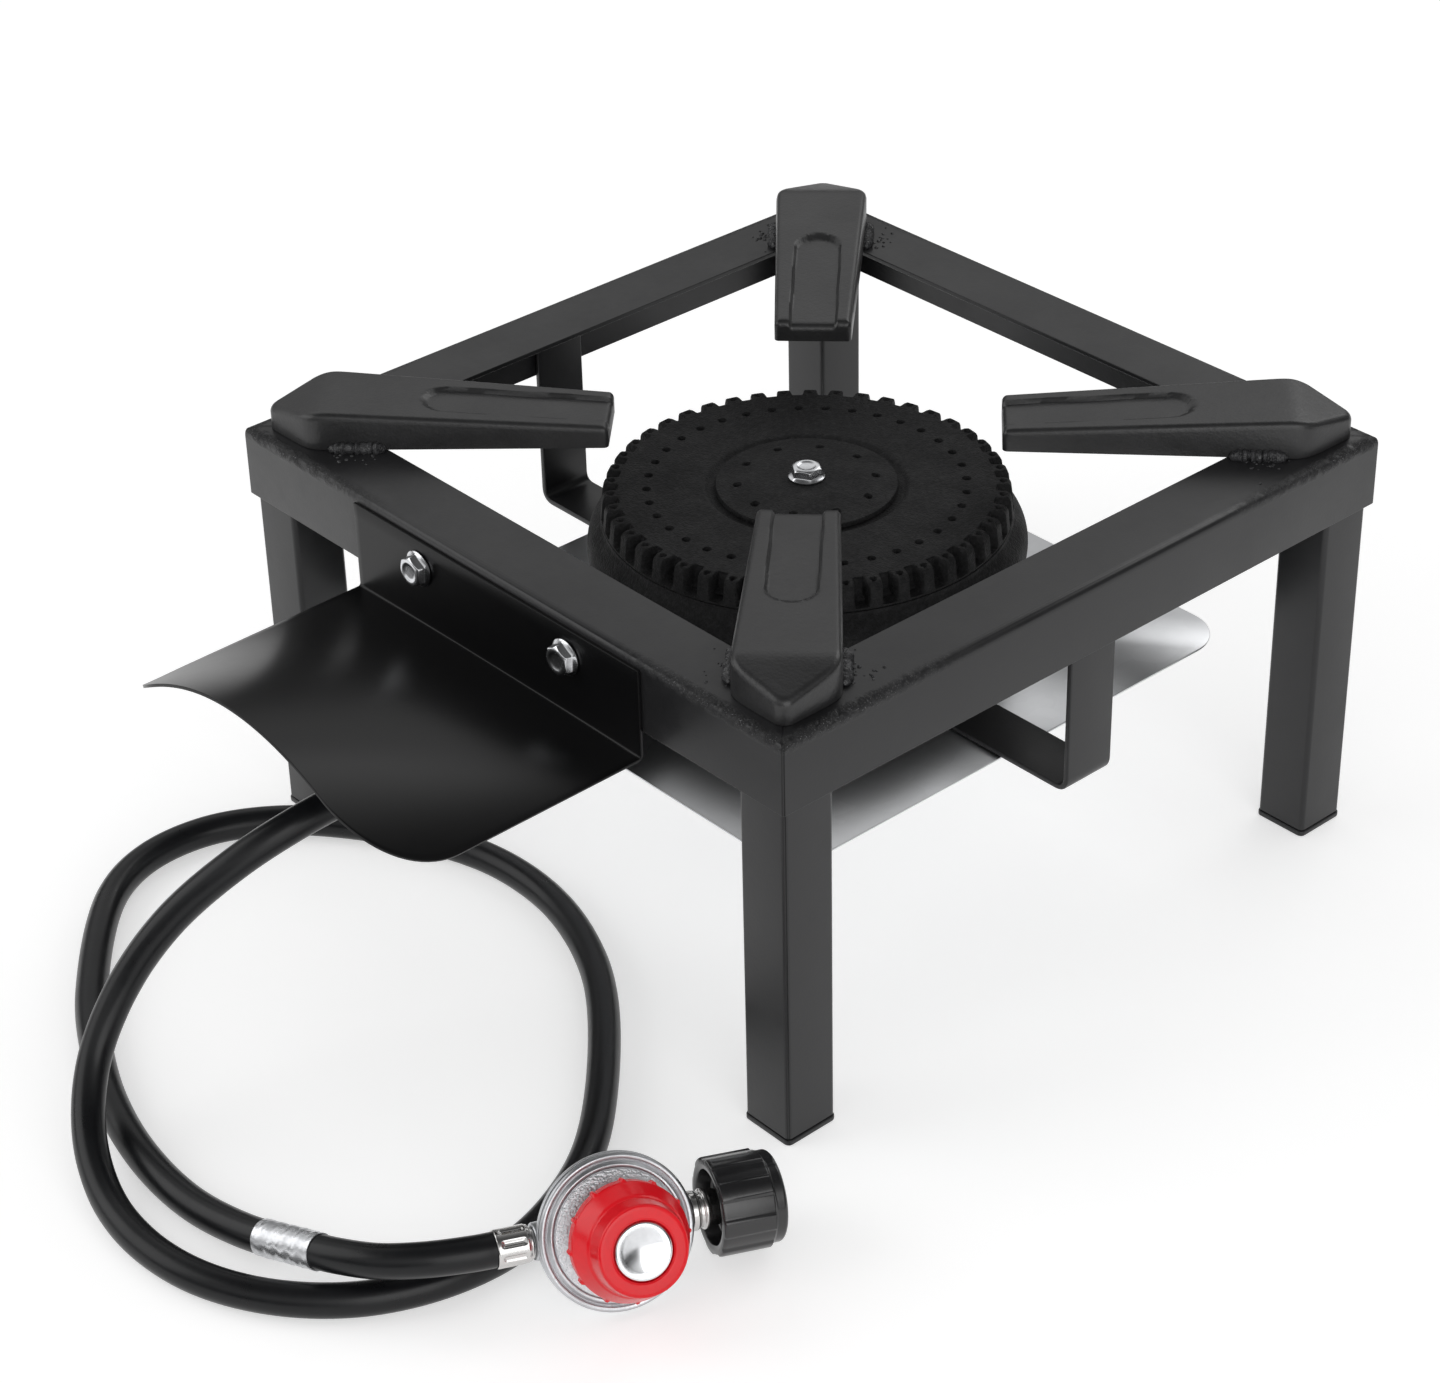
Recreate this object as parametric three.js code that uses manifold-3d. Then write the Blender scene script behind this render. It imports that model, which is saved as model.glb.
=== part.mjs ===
// Propane burner stand: a square angle-iron frame on four legs that holds a cast ring burner, with a
// heat shield, a hose guard and a gas hose that ends in an adjustable regulator and a tank nut.
// Millimetres, +Z up. The part's origin lies on the floor, at the middle of the box round the stand
// and its guard; the guard's side faces -Y.
import * as THREE from "three";
import { mergeVertices, mergeGeometries } from "three/addons/utils/BufferGeometryUtils.js";
import Module from "manifold-3d";

const wasm = await Module();
wasm.setup();

// ---- Driving dimensions -----------------------------------------------------------------------

const GAP = 0.3; // between pieces that touch
const SINK = 2; // how far a cutting tool runs past the face it cuts

const FRAME = { side: 400, top: 227, leg: 38, wall: 2.5, bend: 5 };
const LEG = { side: 30, wall: 2, corner: 2.5 };
const FOOT = { side: 31, thick: 3, corner: 3 };

// A pot support: r runs from the burner's axis out along the frame's diagonal.
const FINGER = {
  inner: 97,
  channelEnd: 190,
  shoulder: 240,
  nose: 268,
  innerHalf: 20,
  outerHalf: 25,
  topInner: 238.5,
  topShoulder: 247,
  topNose: 239,
  channelWidth: 24,
  channelDepth: 2.2,
  edge: 2.4,
  noseRound: 7,
};

const STRAP = { width: 30, thick: 3, bottom: 112.6, top: 221, bend: 9 };
const SHIELD = { side: 305, corner: 24, thick: 1.2 };

const GUARD = {
  width: 212,
  thick: 1.5,
  top: 222,
  root: 174,
  reach: 348, // from the frame's middle to the free edge
  bend: 3,
  corner: 42,
  arch: 44, // how far the sides stay below the middle at the free edge
  rise: 42, // how far the middle climbs from the bend to the free edge
  boltX: 55,
  boltZ: 207,
};

const BOLT = { shank: 3.9, hole: 4.5, across: 13, head: 6.2, flange: 8.5, flangeThick: 1.8, length: 16 };
const NUT = { across: 13, height: 6.5, bore: 4.1 };

const BURNER = {
  rim: 104,
  belly: 112,
  deckTop: 197,
  rimTop: 183,
  bellyZ: 165,
  wall: 6,
  seat: 116, // underside of the boss, on the strap
  boss: 30,
  innerRing: 35,
  innerPorts: 10,
  middleRing: 80.5,
  middlePorts: 36,
  outerRing: 97.5,
  outerPorts: 45,
  port: 1.9,
  cap: 46,
};

const VENTURI = { z: 145, mouth: -190, throat: -112, mouthR: 28, throatR: 19, wall: 4, hubR: 11, boreR: 6.8 };
const SHUTTER = { radius: 27, thick: 1.2, windows: 3, slotR: 22.6, slotSpan: 62, screwAngle: 62 };
const ORIFICE = { shank: 6.5, hex: 18, nose: 5.5, bore: 1 };
const SWIVEL = { across: 20, start: -206, end: -222 };
const SLEEVE_X = -53; // the hose's end of the sleeve, along the regulator's inlet axis
const FERRULE = { radius: 9, length: 17.2, crimps: 8 };

const HOSE = { radius: 8, sides: 8, steps: 54 };
// The hose's centre line, from the burner's end to the regulator's: out along the venturi's axis,
// down to the floor, round under the frame's front rail, and up to the regulator's sleeve.
const HOSE_ROUTE = [
  [0, -240.2, 145], [0, -280, 145], [-3, -316, 141], [-14, -348, 126], [-30, -377, 99],
  [-38.5, -401, 68.5], [-33, -423.5, 42], [-13.5, -442, 22.5], [17, -455, 11.2], [52, -460, 8.3],
  [90, -455, 8.2], [124, -438, 8.2], [151, -411, 8.2], [167, -377, 8.2], [171, -340, 8.2],
  [160, -302, 8.2], [137, -265, 8.2], [66, -199, 8.2], [24, -174, 8.2], [-22, -160, 8.2],
  [-68, -160, 8.2], [-111, -174, 8.2], [-148, -195.5, 8.2], [-176, -221, 8.2], [-193, -253, 8.2],
  [-194.5, -288, 8.2], [-179.5, -320.5, 8.2], [-118, -374, 8.2], [-79, -397, 8.2], [-37, -415.5, 8.2],
  [7, -426.5, 8.4], [49, -429.5, 10], [87, -425.5, 15], [119, -418, 22], [140, -412.5, 27],
  [159, -403.8, 31], [174.5, -390, 33.6], [186.6, -372, 34.2], [189.6, -364.6, 33.6],
];
const LABEL = { at: 0.934, length: 34, gap: 0.7, thick: 0.5 }; // at: share of the hose's length

// The regulator lies on its rim: x runs along its inlet towards the tank nut, z towards the knob.
const REGULATOR = {
  place: [209.5, -315.3, 29.9],
  yaw: 68,
  dip: 4,
  roll: 63.4,
  rim: 35.5,
  rimBack: 5,
  rimFront: 11,
  back: -18,
  backR: 24,
  bonnetTop: 31,
  neck: 14,
  inletEnd: 36.2,
};
const KNOB = {
  skirt: 27.4,
  nubs: 12,
  nub: 1.1, // how far a nub stands out, 7 degrees wide at its foot and 2.6 at its tip
  base: 26,
  shelf: 33,
  shoulder: 22.4, // radius and height where the slope meets the crown's wall
  shoulderZ: 41,
  top: 51,
  crown: 20.2,
  capR: 13.4,
  well: 2.6, // depth of the seat that holds the dished cap
};
const KNOB_TRAVEL = 4.5;
const TANK_NUT = {
  radius: 21.6,
  ribs: 8,
  rib: 1.1,
  start: 46,
  end: 77,
  inner: 17,
  collar: 6,
  recess: 8,
  web: 2.6, // the wall between the recess and the threaded socket, which the nipple's flange pulls on
};
const NIPPLE = { radius: 7, bore: 3, end: 67, flange: 12, flangeThick: 3, base: 9.2 };
const SPRING = { radius: 7.6, wire: 0.8, turns: 4 };
const SCREW = { head: 10.4, headHeight: 9, shank: 6 }; // turned down into the neck by the knob

// ---- Values worked out from them ---------------------------------------------------------------

const half = FRAME.side / 2;
const flangeUnder = FRAME.top - FRAME.wall;
const skirtInner = half - FRAME.wall;
const legOuter = skirtInner - GAP;
const legMiddle = legOuter - LEG.side / 2;
const shieldTop = STRAP.bottom - GAP;
const seatLevel = REGULATOR.rimFront - 2.6; // the cup's upper face, under the diaphragm
const standShift = (GUARD.reach - half) / 2; // puts the box's middle at the origin
const rad = THREE.MathUtils.degToRad;

// ---- Materials ----------------------------------------------------------------------------------

const steelBlack = new THREE.MeshStandardMaterial({ color: "#3a3a3c", roughness: 0.55, metalness: 0.4 });
const guardBlack = new THREE.MeshStandardMaterial({ color: "#232325", roughness: 0.35, metalness: 0.4 });
const castIron = new THREE.MeshStandardMaterial({ color: "#1c1c1d", roughness: 0.85, metalness: 0.5 });
const castSupport = new THREE.MeshStandardMaterial({ color: "#434345", roughness: 0.62, metalness: 0.4 });
const sheetBright = new THREE.MeshStandardMaterial({ color: "#c9ccce", roughness: 0.3, metalness: 0.95 });
const zinc = new THREE.MeshStandardMaterial({ color: "#d6d8da", roughness: 0.22, metalness: 1 });
const brass = new THREE.MeshStandardMaterial({ color: "#c9a353", roughness: 0.3, metalness: 1 });
const rubber = new THREE.MeshStandardMaterial({ color: "#17181a", roughness: 0.5, metalness: 0 });
const foil = new THREE.MeshStandardMaterial({ color: "#d9dadb", roughness: 0.35, metalness: 0.7 });
const nickel = new THREE.MeshStandardMaterial({ color: "#c3c1bc", roughness: 0.25, metalness: 1 });
const dieCast = new THREE.MeshStandardMaterial({ color: "#a9abae", roughness: 0.45, metalness: 0.9 });
const redPlastic = new THREE.MeshStandardMaterial({ color: "#d8232b", roughness: 0.3, metalness: 0 });
const blackPlastic = new THREE.MeshStandardMaterial({ color: "#18191b", roughness: 0.3, metalness: 0 });
const springSteel = new THREE.MeshStandardMaterial({ color: "#b9bcc0", roughness: 0.3, metalness: 1 });

// ---- Helpers ------------------------------------------------------------------------------------

// A closed three.js geometry as a solid that can be joined and cut.
function solid(geometry) {
  const plain = geometry.clone();
  plain.deleteAttribute("normal");
  plain.deleteAttribute("uv");
  const merged = mergeVertices(plain, 1e-4);
  return new wasm.Manifold(
    new wasm.Mesh({
      numProp: 3,
      vertProperties: new Float32Array(merged.attributes.position.array),
      triVerts: new Uint32Array(merged.index.array),
    }),
  );
}

function geometryOf(body) {
  const mesh = body.getMesh();
  const geometry = new THREE.BufferGeometry();
  geometry.setAttribute("position", new THREE.BufferAttribute(mesh.vertProperties, 3));
  geometry.setIndex(new THREE.BufferAttribute(mesh.triVerts, 1));
  const flat = geometry.toNonIndexed();
  flat.computeVertexNormals();
  return flat;
}

function cut(body, ...tools) {
  return geometryOf(tools.reduce((rest, tool) => rest.subtract(solid(tool)), solid(body)));
}

function join(...pieces) {
  return geometryOf(pieces.slice(1).reduce((whole, piece) => whole.add(solid(piece)), solid(pieces[0])));
}

// Moves every vertex of a geometry by a function of its place.
function warp(geometry, change) {
  const place = geometry.attributes.position;
  const point = new THREE.Vector3();
  for (let i = 0; i < place.count; i++) {
    point.fromBufferAttribute(place, i);
    change(point);
    place.setXYZ(i, point.x, point.y, point.z);
  }
  return geometry;
}

function extrude(shape, depth, options = {}) {
  return new THREE.ExtrudeGeometry(shape, { depth, bevelEnabled: false, steps: 1, ...options });
}

// A profile of [radius, height] points turned round Z.
function turned(points, sides) {
  const profile = points.map(([r, z]) => new THREE.Vector2(r, z));
  return new THREE.LatheGeometry(profile, sides).rotateX(Math.PI / 2);
}

function rod(radius, from, to, sides = 24) {
  return new THREE.CylinderGeometry(radius, radius, to - from, sides)
    .rotateX(Math.PI / 2)
    .translate(0, 0, (from + to) / 2);
}

function hexagon(across, from, to) {
  return rod(across / Math.sqrt(3), from, to, 6);
}

function roundedSquare(side, corner, Kind = THREE.Shape) {
  const h = side / 2;
  const c = h - corner;
  const shape = new Kind();
  shape.moveTo(c, -h);
  [[c, -c, -90], [c, c, 0], [-c, c, 90], [-c, -c, 180]].forEach(([x, y, start]) =>
    shape.absarc(x, y, corner, rad(start), rad(start + 90)),
  );
  return shape;
}

function corner(sx, sy, reach) {
  return new THREE.Vector2(sx * reach, sy * reach);
}

const stand = new THREE.Group();

function add(name, geometry, material, parent = stand) {
  const mesh = new THREE.Mesh(geometry, material);
  mesh.name = name;
  parent.add(mesh);
  return mesh;
}

// ---- Frame --------------------------------------------------------------------------------------

// The angle's section: x runs inwards from the rail's outer face, y is the height.
function angleSection() {
  const { leg, wall, top, bend } = FRAME;
  const shape = new THREE.Shape();
  shape.moveTo(0, top - leg);
  shape.lineTo(wall, top - leg);
  shape.absarc(bend, top - bend, bend - wall, Math.PI, Math.PI / 2, true);
  shape.lineTo(leg, top - wall);
  shape.lineTo(leg, top);
  shape.absarc(bend, top - bend, bend, Math.PI / 2, Math.PI, false);
  return shape;
}

// The -Y rail, mitred at both ends: each end face moves in by its distance from the outer face.
function railGeometry() {
  const rail = extrude(angleSection(), 1, { curveSegments: 3 });
  return warp(rail, (p) => {
    const inwards = p.x;
    const end = half - inwards - GAP / 2;
    const height = p.y;
    p.set(p.z < 0.5 ? -end : end, inwards - half, height);
  });
}

function boltHoles() {
  return [-GUARD.boltX, GUARD.boltX].map((x) =>
    rod(BOLT.hole, -8, 8, 16).rotateX(Math.PI / 2).translate(x, -half, GUARD.boltZ),
  );
}

const SIDES = ["front", "right", "back", "left"];

SIDES.forEach((side, i) => {
  const geometry = i === 0 ? cut(railGeometry(), ...boltHoles()) : railGeometry();
  add("rail_" + side, geometry, steelBlack).rotation.z = (i * Math.PI) / 2;
});

function legGeometry() {
  const section = roundedSquare(LEG.side, LEG.corner);
  const inner = LEG.side / 2 - LEG.wall;
  const round = [[-1, -1], [-1, 1], [1, 1], [1, -1]];
  section.holes.push(new THREE.Path(round.map(([x, y]) => corner(x, y, inner))));
  const top = flangeUnder - (FRAME.bend - FRAME.wall) - GAP; // clear of the angle's inner bend
  return extrude(section, top - FOOT.thick - GAP, { curveSegments: 2 });
}

function footGeometry() {
  return extrude(roundedSquare(FOOT.side, FOOT.corner), FOOT.thick, { curveSegments: 2 });
}

const CORNERS = [
  ["front_left", -1, -1],
  ["front_right", 1, -1],
  ["back_right", 1, 1],
  ["back_left", -1, 1],
];

CORNERS.forEach(([corner, sx, sy]) => {
  const place = [sx * legMiddle, sy * legMiddle];
  add("leg_" + corner, legGeometry(), steelBlack).position.set(...place, FOOT.thick + GAP);
  add("foot_plate_" + corner, footGeometry(), steelBlack).position.set(...place, 0);
});

// ---- Pot supports --------------------------------------------------------------------------------

function fingerTop(r) {
  const { inner, shoulder, nose, topInner, topShoulder, topNose } = FINGER;
  if (r <= shoulder) return THREE.MathUtils.mapLinear(r, inner, shoulder, topInner, topShoulder);
  return THREE.MathUtils.mapLinear(r, shoulder, nose, topShoulder, topNose);
}

// Stations from the inner end to the nose: [r, half-width, slant of the sides there]. The bar widens
// outwards, then both sides run in at 45 degrees to a rounded nose.
function fingerStations() {
  const { inner, shoulder, nose, innerHalf, outerHalf, edge, noseRound } = FINGER;
  const bar = (r) => THREE.MathUtils.mapLinear(r, inner, shoulder, innerHalf, outerHalf);
  const stations = [inner, inner + 0.3 * edge, inner + edge, shoulder].map((r) => [r, bar(r), 1]);
  [45, 28, 10].forEach((angle) => {
    const r = nose - noseRound * (1 - Math.cos(rad(angle)));
    stations.push([r, noseRound * Math.sin(rad(angle)), Math.SQRT2]);
  });
  return stations;
}

// A block bent to the stations; its top drops along a quarter round within one edge radius of the
// outline.
function fingerGeometry() {
  const { inner, edge } = FINGER;
  const stations = fingerStations();
  const insets = [0, 0.3 * edge, edge, edge, 0.3 * edge, 0];
  const block = new THREE.BoxGeometry(1, 1, 1, stations.length - 1, insets.length - 1, 1);
  const bar = warp(block, (p) => {
    const [r, halfWidth, slant] = stations[Math.round((p.x + 0.5) * (stations.length - 1))];
    const column = Math.round((p.y + 0.5) * (insets.length - 1));
    const y = Math.max(halfWidth - insets[column] * slant, 0.2 + 0.1 * halfWidth * (insets[column] < edge));
    const side = column < 3 ? -1 : 1;
    const inside = Math.min((halfWidth - y) / slant, r - inner, edge);
    const drop = edge - Math.sqrt(edge ** 2 - (edge - inside) ** 2);
    p.set(r, side * (insets[column] ? y : halfWidth), p.z > 0 ? fingerTop(r) - drop : FRAME.top + GAP);
  });
  return cut(bar, channelTool());
}

function channelTool() {
  const { inner, channelEnd, channelWidth, channelDepth } = FINGER;
  const r = channelWidth / 2;
  const shape = new THREE.Shape();
  shape.moveTo(inner - SINK, -r);
  shape.lineTo(channelEnd - r, -r);
  shape.absarc(channelEnd - r, 0, r, -Math.PI / 2, Math.PI / 2, false);
  shape.lineTo(inner - SINK, r);
  return warp(extrude(shape, 1, { curveSegments: 7 }), (p) => {
    p.z = fingerTop(p.x) + (p.z > 0.5 ? 10 : -channelDepth);
  });
}

CORNERS.forEach(([corner, sx, sy]) => {
  add("pot_support_" + corner, fingerGeometry(), castSupport).rotation.z = Math.atan2(sy, sx);
});

// ---- Burner strap, heat shield and guard ---------------------------------------------------------

// A flat bar bent into a U, hung inside the skirts of the left and right rails.
function strapGeometry() {
  const { width, thick, bottom, top, bend } = STRAP;
  const shape = new THREE.Shape();
  shape.moveTo(-legOuter, top);
  shape.lineTo(-legOuter, bottom + bend);
  shape.absarc(-legOuter + bend, bottom + bend, bend, Math.PI, 1.5 * Math.PI, false);
  shape.absarc(legOuter - bend, bottom + bend, bend, 1.5 * Math.PI, 2 * Math.PI, false);
  shape.lineTo(legOuter, top);
  shape.lineTo(legOuter - thick, top);
  shape.absarc(legOuter - bend, bottom + bend, bend - thick, 0, -0.5 * Math.PI, true);
  shape.absarc(-legOuter + bend, bottom + bend, bend - thick, 1.5 * Math.PI, Math.PI, true);
  shape.lineTo(-legOuter + thick, top);
  shape.closePath();
  const bar = extrude(shape, width, { curveSegments: 4 }).rotateX(Math.PI / 2).translate(0, width / 2, 0);
  return cut(bar, rod(BOLT.hole, bottom - SINK, bottom + thick + SINK, 16));
}

function shieldGeometry() {
  const { side, corner, thick } = SHIELD;
  const outline = roundedSquare(side, corner);
  outline.holes.push(new THREE.Path().absarc(0, 0, BOLT.hole, 0, 2 * Math.PI, true));
  return extrude(outline, thick, { curveSegments: 5 }).translate(0, 0, shieldTop - thick);
}

// The guard as one bent sheet. u runs across it, s down the flange, round the bend and out along
// the tongue; the tongue's middle rises and its sides fall away towards the free edge.
function guardGeometry() {
  const { width, thick, top, root, reach, bend, corner, arch, rise } = GUARD;
  const face = -half - GAP;
  const flange = top - root - bend;
  const turn = (Math.PI / 2) * bend;
  const tongue = reach + face - bend;
  const straight = flange + turn + tongue - corner;
  const rows = [[0, 1], [flange, 1]];
  for (let i = 1; i <= 5; i++) rows.push([flange + (turn * i) / 5, 1]);
  for (let i = 1; i <= 3; i++) rows.push([flange + turn + ((tongue - corner) * i) / 3, 1]);
  for (let i = 1; i <= 6; i++) {
    const angle = (i / 6) * (Math.PI / 2);
    rows.push([straight + corner * Math.sin(angle), 1 - (corner / (width / 2)) * (1 - Math.cos(angle))]);
  }
  const sheet = new THREE.BoxGeometry(1, 1, 1, 10, rows.length - 1, 1);
  const bent = warp(sheet, (p) => {
    const [s, share] = rows[Math.round((0.5 - p.y) * (rows.length - 1))];
    const x = p.x * width * share;
    const depth = (p.z + 0.5) * thick;
    const out = Math.min(Math.max(s - flange, 0) / (turn + tongue), 1);
    const lift = out * (rise - arch * ((2 * x) / width) ** 2);
    const lean = Math.atan((8 * out * arch * x) / width ** 2);
    if (s <= flange) {
      p.set(x, face - depth, top - s);
    } else if (s <= flange + turn) {
      const angle = (s - flange) / bend;
      const r = bend - depth;
      p.set(x, face - bend + r * Math.cos(angle), top - flange - r * Math.sin(angle) + lift);
    } else {
      const y = face - bend - (s - flange - turn);
      p.set(x + depth * Math.sin(lean), y, root + depth * Math.cos(lean) + lift);
    }
  });
  return cut(bent, ...boltHoles());
}

add("burner_strap", strapGeometry(), steelBlack);
add("heat_shield", shieldGeometry(), sheetBright);
add("hose_guard", guardGeometry(), guardBlack);

// A flanged hexagon bolt along Z: the flange's underside at 0, the head above it.
function boltGeometry(length) {
  const { shank, across, head, flange, flangeThick } = BOLT;
  const seat = turned([[0, 0], [flange, 0], [flange, 0.8], [across / 2, flangeThick], [0, flangeThick]], 18);
  const dish = turned([[0, head - 1], [3, head - 1], [4.2, head + 1], [0, head + 1]], 12);
  const whole = join(seat, hexagon(across, 0.5, head), rod(shank, -length, 1, 12));
  return cut(whole, dish);
}

function nutGeometry() {
  return cut(hexagon(NUT.across, 0, NUT.height), rod(NUT.bore, -SINK, NUT.height + SINK, 12));
}

[["left", -1], ["right", 1]].forEach(([side, sign]) => {
  const head = new THREE.Group();
  head.position.set(sign * GUARD.boltX, -half - GUARD.thick - 2 * GAP, GUARD.boltZ);
  head.rotation.x = Math.PI / 2;
  stand.add(head);
  add("guard_bolt_" + side, boltGeometry(BOLT.length), zinc, head);
  const inside = GUARD.thick + FRAME.wall + 3 * GAP;
  add("guard_nut_" + side, nutGeometry(), zinc, head).position.z = -inside - NUT.height;
});

// ---- Burner --------------------------------------------------------------------------------------

// A ring of copies of one tool, each at a radius and turned with its place.
function around(count, radius, make, phase = 0) {
  const tools = [];
  for (let i = 0; i < count; i++) {
    const angle = phase + (i * 2 * Math.PI) / count;
    tools.push(make().translate(radius, 0, 0).rotateZ(angle));
  }
  return mergeGeometries(tools.map((tool) => tool.toNonIndexed()));
}

// The bowl's outside, from the boss up over the belly to the rim.
function bowlProfile() {
  const { rim, belly, rimTop, bellyZ, seat, boss } = BURNER;
  return [
    [0, seat], [boss, seat], [boss + 3, seat + 6], [70, 132], [98, 148], [109, 157], [belly, bellyZ],
    [belly - 2, bellyZ + 8], [rim, rimTop - 3], [rim, rimTop], [0, rimTop],
  ];
}

// Its hollow, round a post for the centre bolt.
function hollowProfile() {
  const { rim, belly, rimTop, bellyZ, wall } = BURNER;
  return [
    [0, 168], [12, 168], [14, 150], [22, 131], [66, 139], [92, 154], [belly - wall - 1, bellyZ + 2],
    [rim - wall, rimTop - 6], [rim - wall, rimTop + SINK], [0, rimTop + SINK],
  ];
}

// The mixing tube: a bell mouth, a throat and a long flare under the bowl. Heights run towards -Y.
function venturiProfile(inset) {
  const { mouth, throat, mouthR, throatR } = VENTURI;
  const start = 26 + 3.5 * inset;
  return [
    [0, start], [23 - inset, start], [throatR - inset, -throat], [throatR - inset + 1, -throat + 22],
    [mouthR - inset - 3, -mouth - 20], [mouthR - inset, -mouth - 8],
    [mouthR - inset, -mouth + (inset ? SINK : 0)], [0, -mouth + (inset ? SINK : 0)],
  ];
}

function alongVenturi(geometry) {
  return geometry.rotateX(Math.PI / 2).translate(0, 0, VENTURI.z);
}

// Three arms and a hub across the bell mouth carry the gas fitting; a small boss on its wall
// takes the shutter's screw.
function spider() {
  const { mouth, mouthR, hubR } = VENTURI;
  const deep = 10;
  const arms = [0, 1, 2].map((i) =>
    new THREE.BoxGeometry(mouthR - 2, 6, deep)
      .translate(mouthR / 2, 0, -mouth - 1 - deep / 2)
      .rotateZ(rad(90 + i * 120)),
  );
  return [...arms, rod(hubR, -mouth - 5 - deep, -mouth - 1, 16), atScrew(rod(5, -mouth - 9, -mouth, 10))];
}

function atScrew(geometry) {
  const angle = rad(SHUTTER.screwAngle);
  return geometry.translate(SHUTTER.slotR * Math.cos(angle), SHUTTER.slotR * Math.sin(angle), 0);
}

function burnerBaseGeometry() {
  const { mouth, wall, boreR } = VENTURI;
  const bowl = solid(turned(bowlProfile(), 32)).add(solid(alongVenturi(turned(venturiProfile(0), 18))));
  const shell = bowl
    .subtract(solid(turned(hollowProfile(), 32)))
    .subtract(solid(alongVenturi(turned(venturiProfile(wall), 18))));
  const tools = [
    alongVenturi(rod(boreR, -mouth - 20, -mouth + SINK, 14)),
    alongVenturi(atScrew(rod(1.6, -mouth - 8, -mouth + SINK, 8))),
    rod(BOLT.hole, BURNER.seat - SINK, 172, 12),
  ];
  const whole = spider().reduce((all, piece) => all.add(solid(alongVenturi(piece))), shell);
  return geometryOf(tools.reduce((rest, tool) => rest.subtract(solid(tool)), whole));
}

// The deck: a shallow lid with slots between the teeth of its rim and a ring of ports inside them.
function burnerDeckGeometry() {
  const { rim, rimTop, deckTop, wall, port, cap } = BURNER;
  const { middleRing, middlePorts, outerRing, outerPorts } = BURNER;
  const low = rimTop + GAP;
  const wallR = rim - wall + 0.5;
  const lid = turned(
    [
      [0, deckTop - 7], [94, deckTop - 7], [wallR, low + 3.5], [wallR, low], [rim, low],
      [rim - 2.2, deckTop], [cap + 6, deckTop], [cap + 3, deckTop - 2],
      [0, deckTop - 2],
    ],
    outerPorts,
  );
  const high = deckTop + SINK;
  const slot = () =>
    new THREE.BoxGeometry(14, 3.6, high - low - 1.2).translate(5.2, 0, (high + low + 1.2) / 2);
  const slots = around(outerPorts, outerRing, slot, Math.PI / outerPorts);
  const hole = () => rod(port, low, high, 6);
  const middle = around(middlePorts, middleRing, hole);
  return cut(lid, slots, middle, rod(BOLT.hole, low, high, 12));
}

const capHeight = 5.6;

// The centre cap: a low dome with one ring of ports.
function burnerCapGeometry() {
  const { cap, deckTop, innerRing, innerPorts, port } = BURNER;
  const low = deckTop - 2 + GAP;
  const top = low + capHeight;
  const profile = [[0, low], [cap, low], [cap, low + 2.4], [cap - 3, low + 4.4], [12, top], [0, top]];
  const dome = turned(profile, 24);
  const hole = () => rod(port, low - SINK, low + 8, 6);
  return cut(dome, around(innerPorts, innerRing, hole, rad(18)), rod(BOLT.hole, low - SINK, low + 8, 12));
}

add("burner_base", burnerBaseGeometry(), castIron);
add("burner_deck", burnerDeckGeometry(), castIron);
add("burner_cap", burnerCapGeometry(), castIron);

const capTop = BURNER.deckTop - 2 + GAP + capHeight;
const shieldUnder = shieldTop - SHIELD.thick;
const washerThick = 1.6;
const washerTop = shieldUnder - GAP;
const centreBoltLength = capTop + GAP - (washerTop - washerThick - NUT.height - 4);
add("burner_bolt", boltGeometry(centreBoltLength), zinc).position.z = capTop + GAP;
add(
  "burner_washer",
  cut(rod(9, washerTop - washerThick, washerTop, 18), rod(BOLT.hole, 90, 120, 12)),
  zinc,
);
add("burner_nut", nutGeometry(), zinc).position.z = washerTop - washerThick - GAP - NUT.height;

// ---- Air shutter and gas fitting -------------------------------------------------------------------

// A ring sector in the plane, between two radii and two angles in degrees.
function sector(inner, outer, from, to) {
  const shape = new THREE.Shape();
  shape.absarc(0, 0, outer, rad(from), rad(to), false);
  shape.absarc(0, 0, inner, rad(to), rad(from), true);
  shape.closePath();
  return shape;
}

// A disc over the bell mouth with air windows, a hole for the fitting and an arc for the screw.
function shutterGeometry() {
  const { radius, thick, windows, slotR, slotSpan, screwAngle } = SHUTTER;
  const face = -VENTURI.mouth + GAP;
  const disc = rod(radius, face, face + thick, 36);
  const tools = [rod(VENTURI.boreR + 0.6, face - SINK, face + 8, 16)];
  for (let i = 0; i < windows; i++) {
    const start = 96 + i * 120;
    const shape = sector(VENTURI.hubR + 0.5, slotR - 4.2, start, start + 52);
    tools.push(extrude(shape, 8, { curveSegments: 5 }).translate(0, 0, face - SINK));
  }
  const slot = sector(slotR - 2.3, slotR + 2.3, screwAngle - slotSpan, screwAngle + 6);
  tools.push(extrude(slot, 8, { curveSegments: 8 }).translate(0, 0, face - SINK));
  return alongVenturi(cut(disc, ...tools));
}

// The lock screw goes through the shutter's arc into the boss of the bell mouth.
function shutterScrewGeometry() {
  const face = -VENTURI.mouth + 2 * GAP + SHUTTER.thick;
  const head = turned([[0, face], [3.9, face], [3.9, face + 1.4], [2.6, face + 2.6], [0, face + 2.6]], 16);
  const slot = new THREE.BoxGeometry(9, 1, 2).translate(0, 0, face + 2.8);
  return alongVenturi(atScrew(cut(join(head, rod(1.4, face - 8, face + 0.5, 8)), slot)));
}

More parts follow.
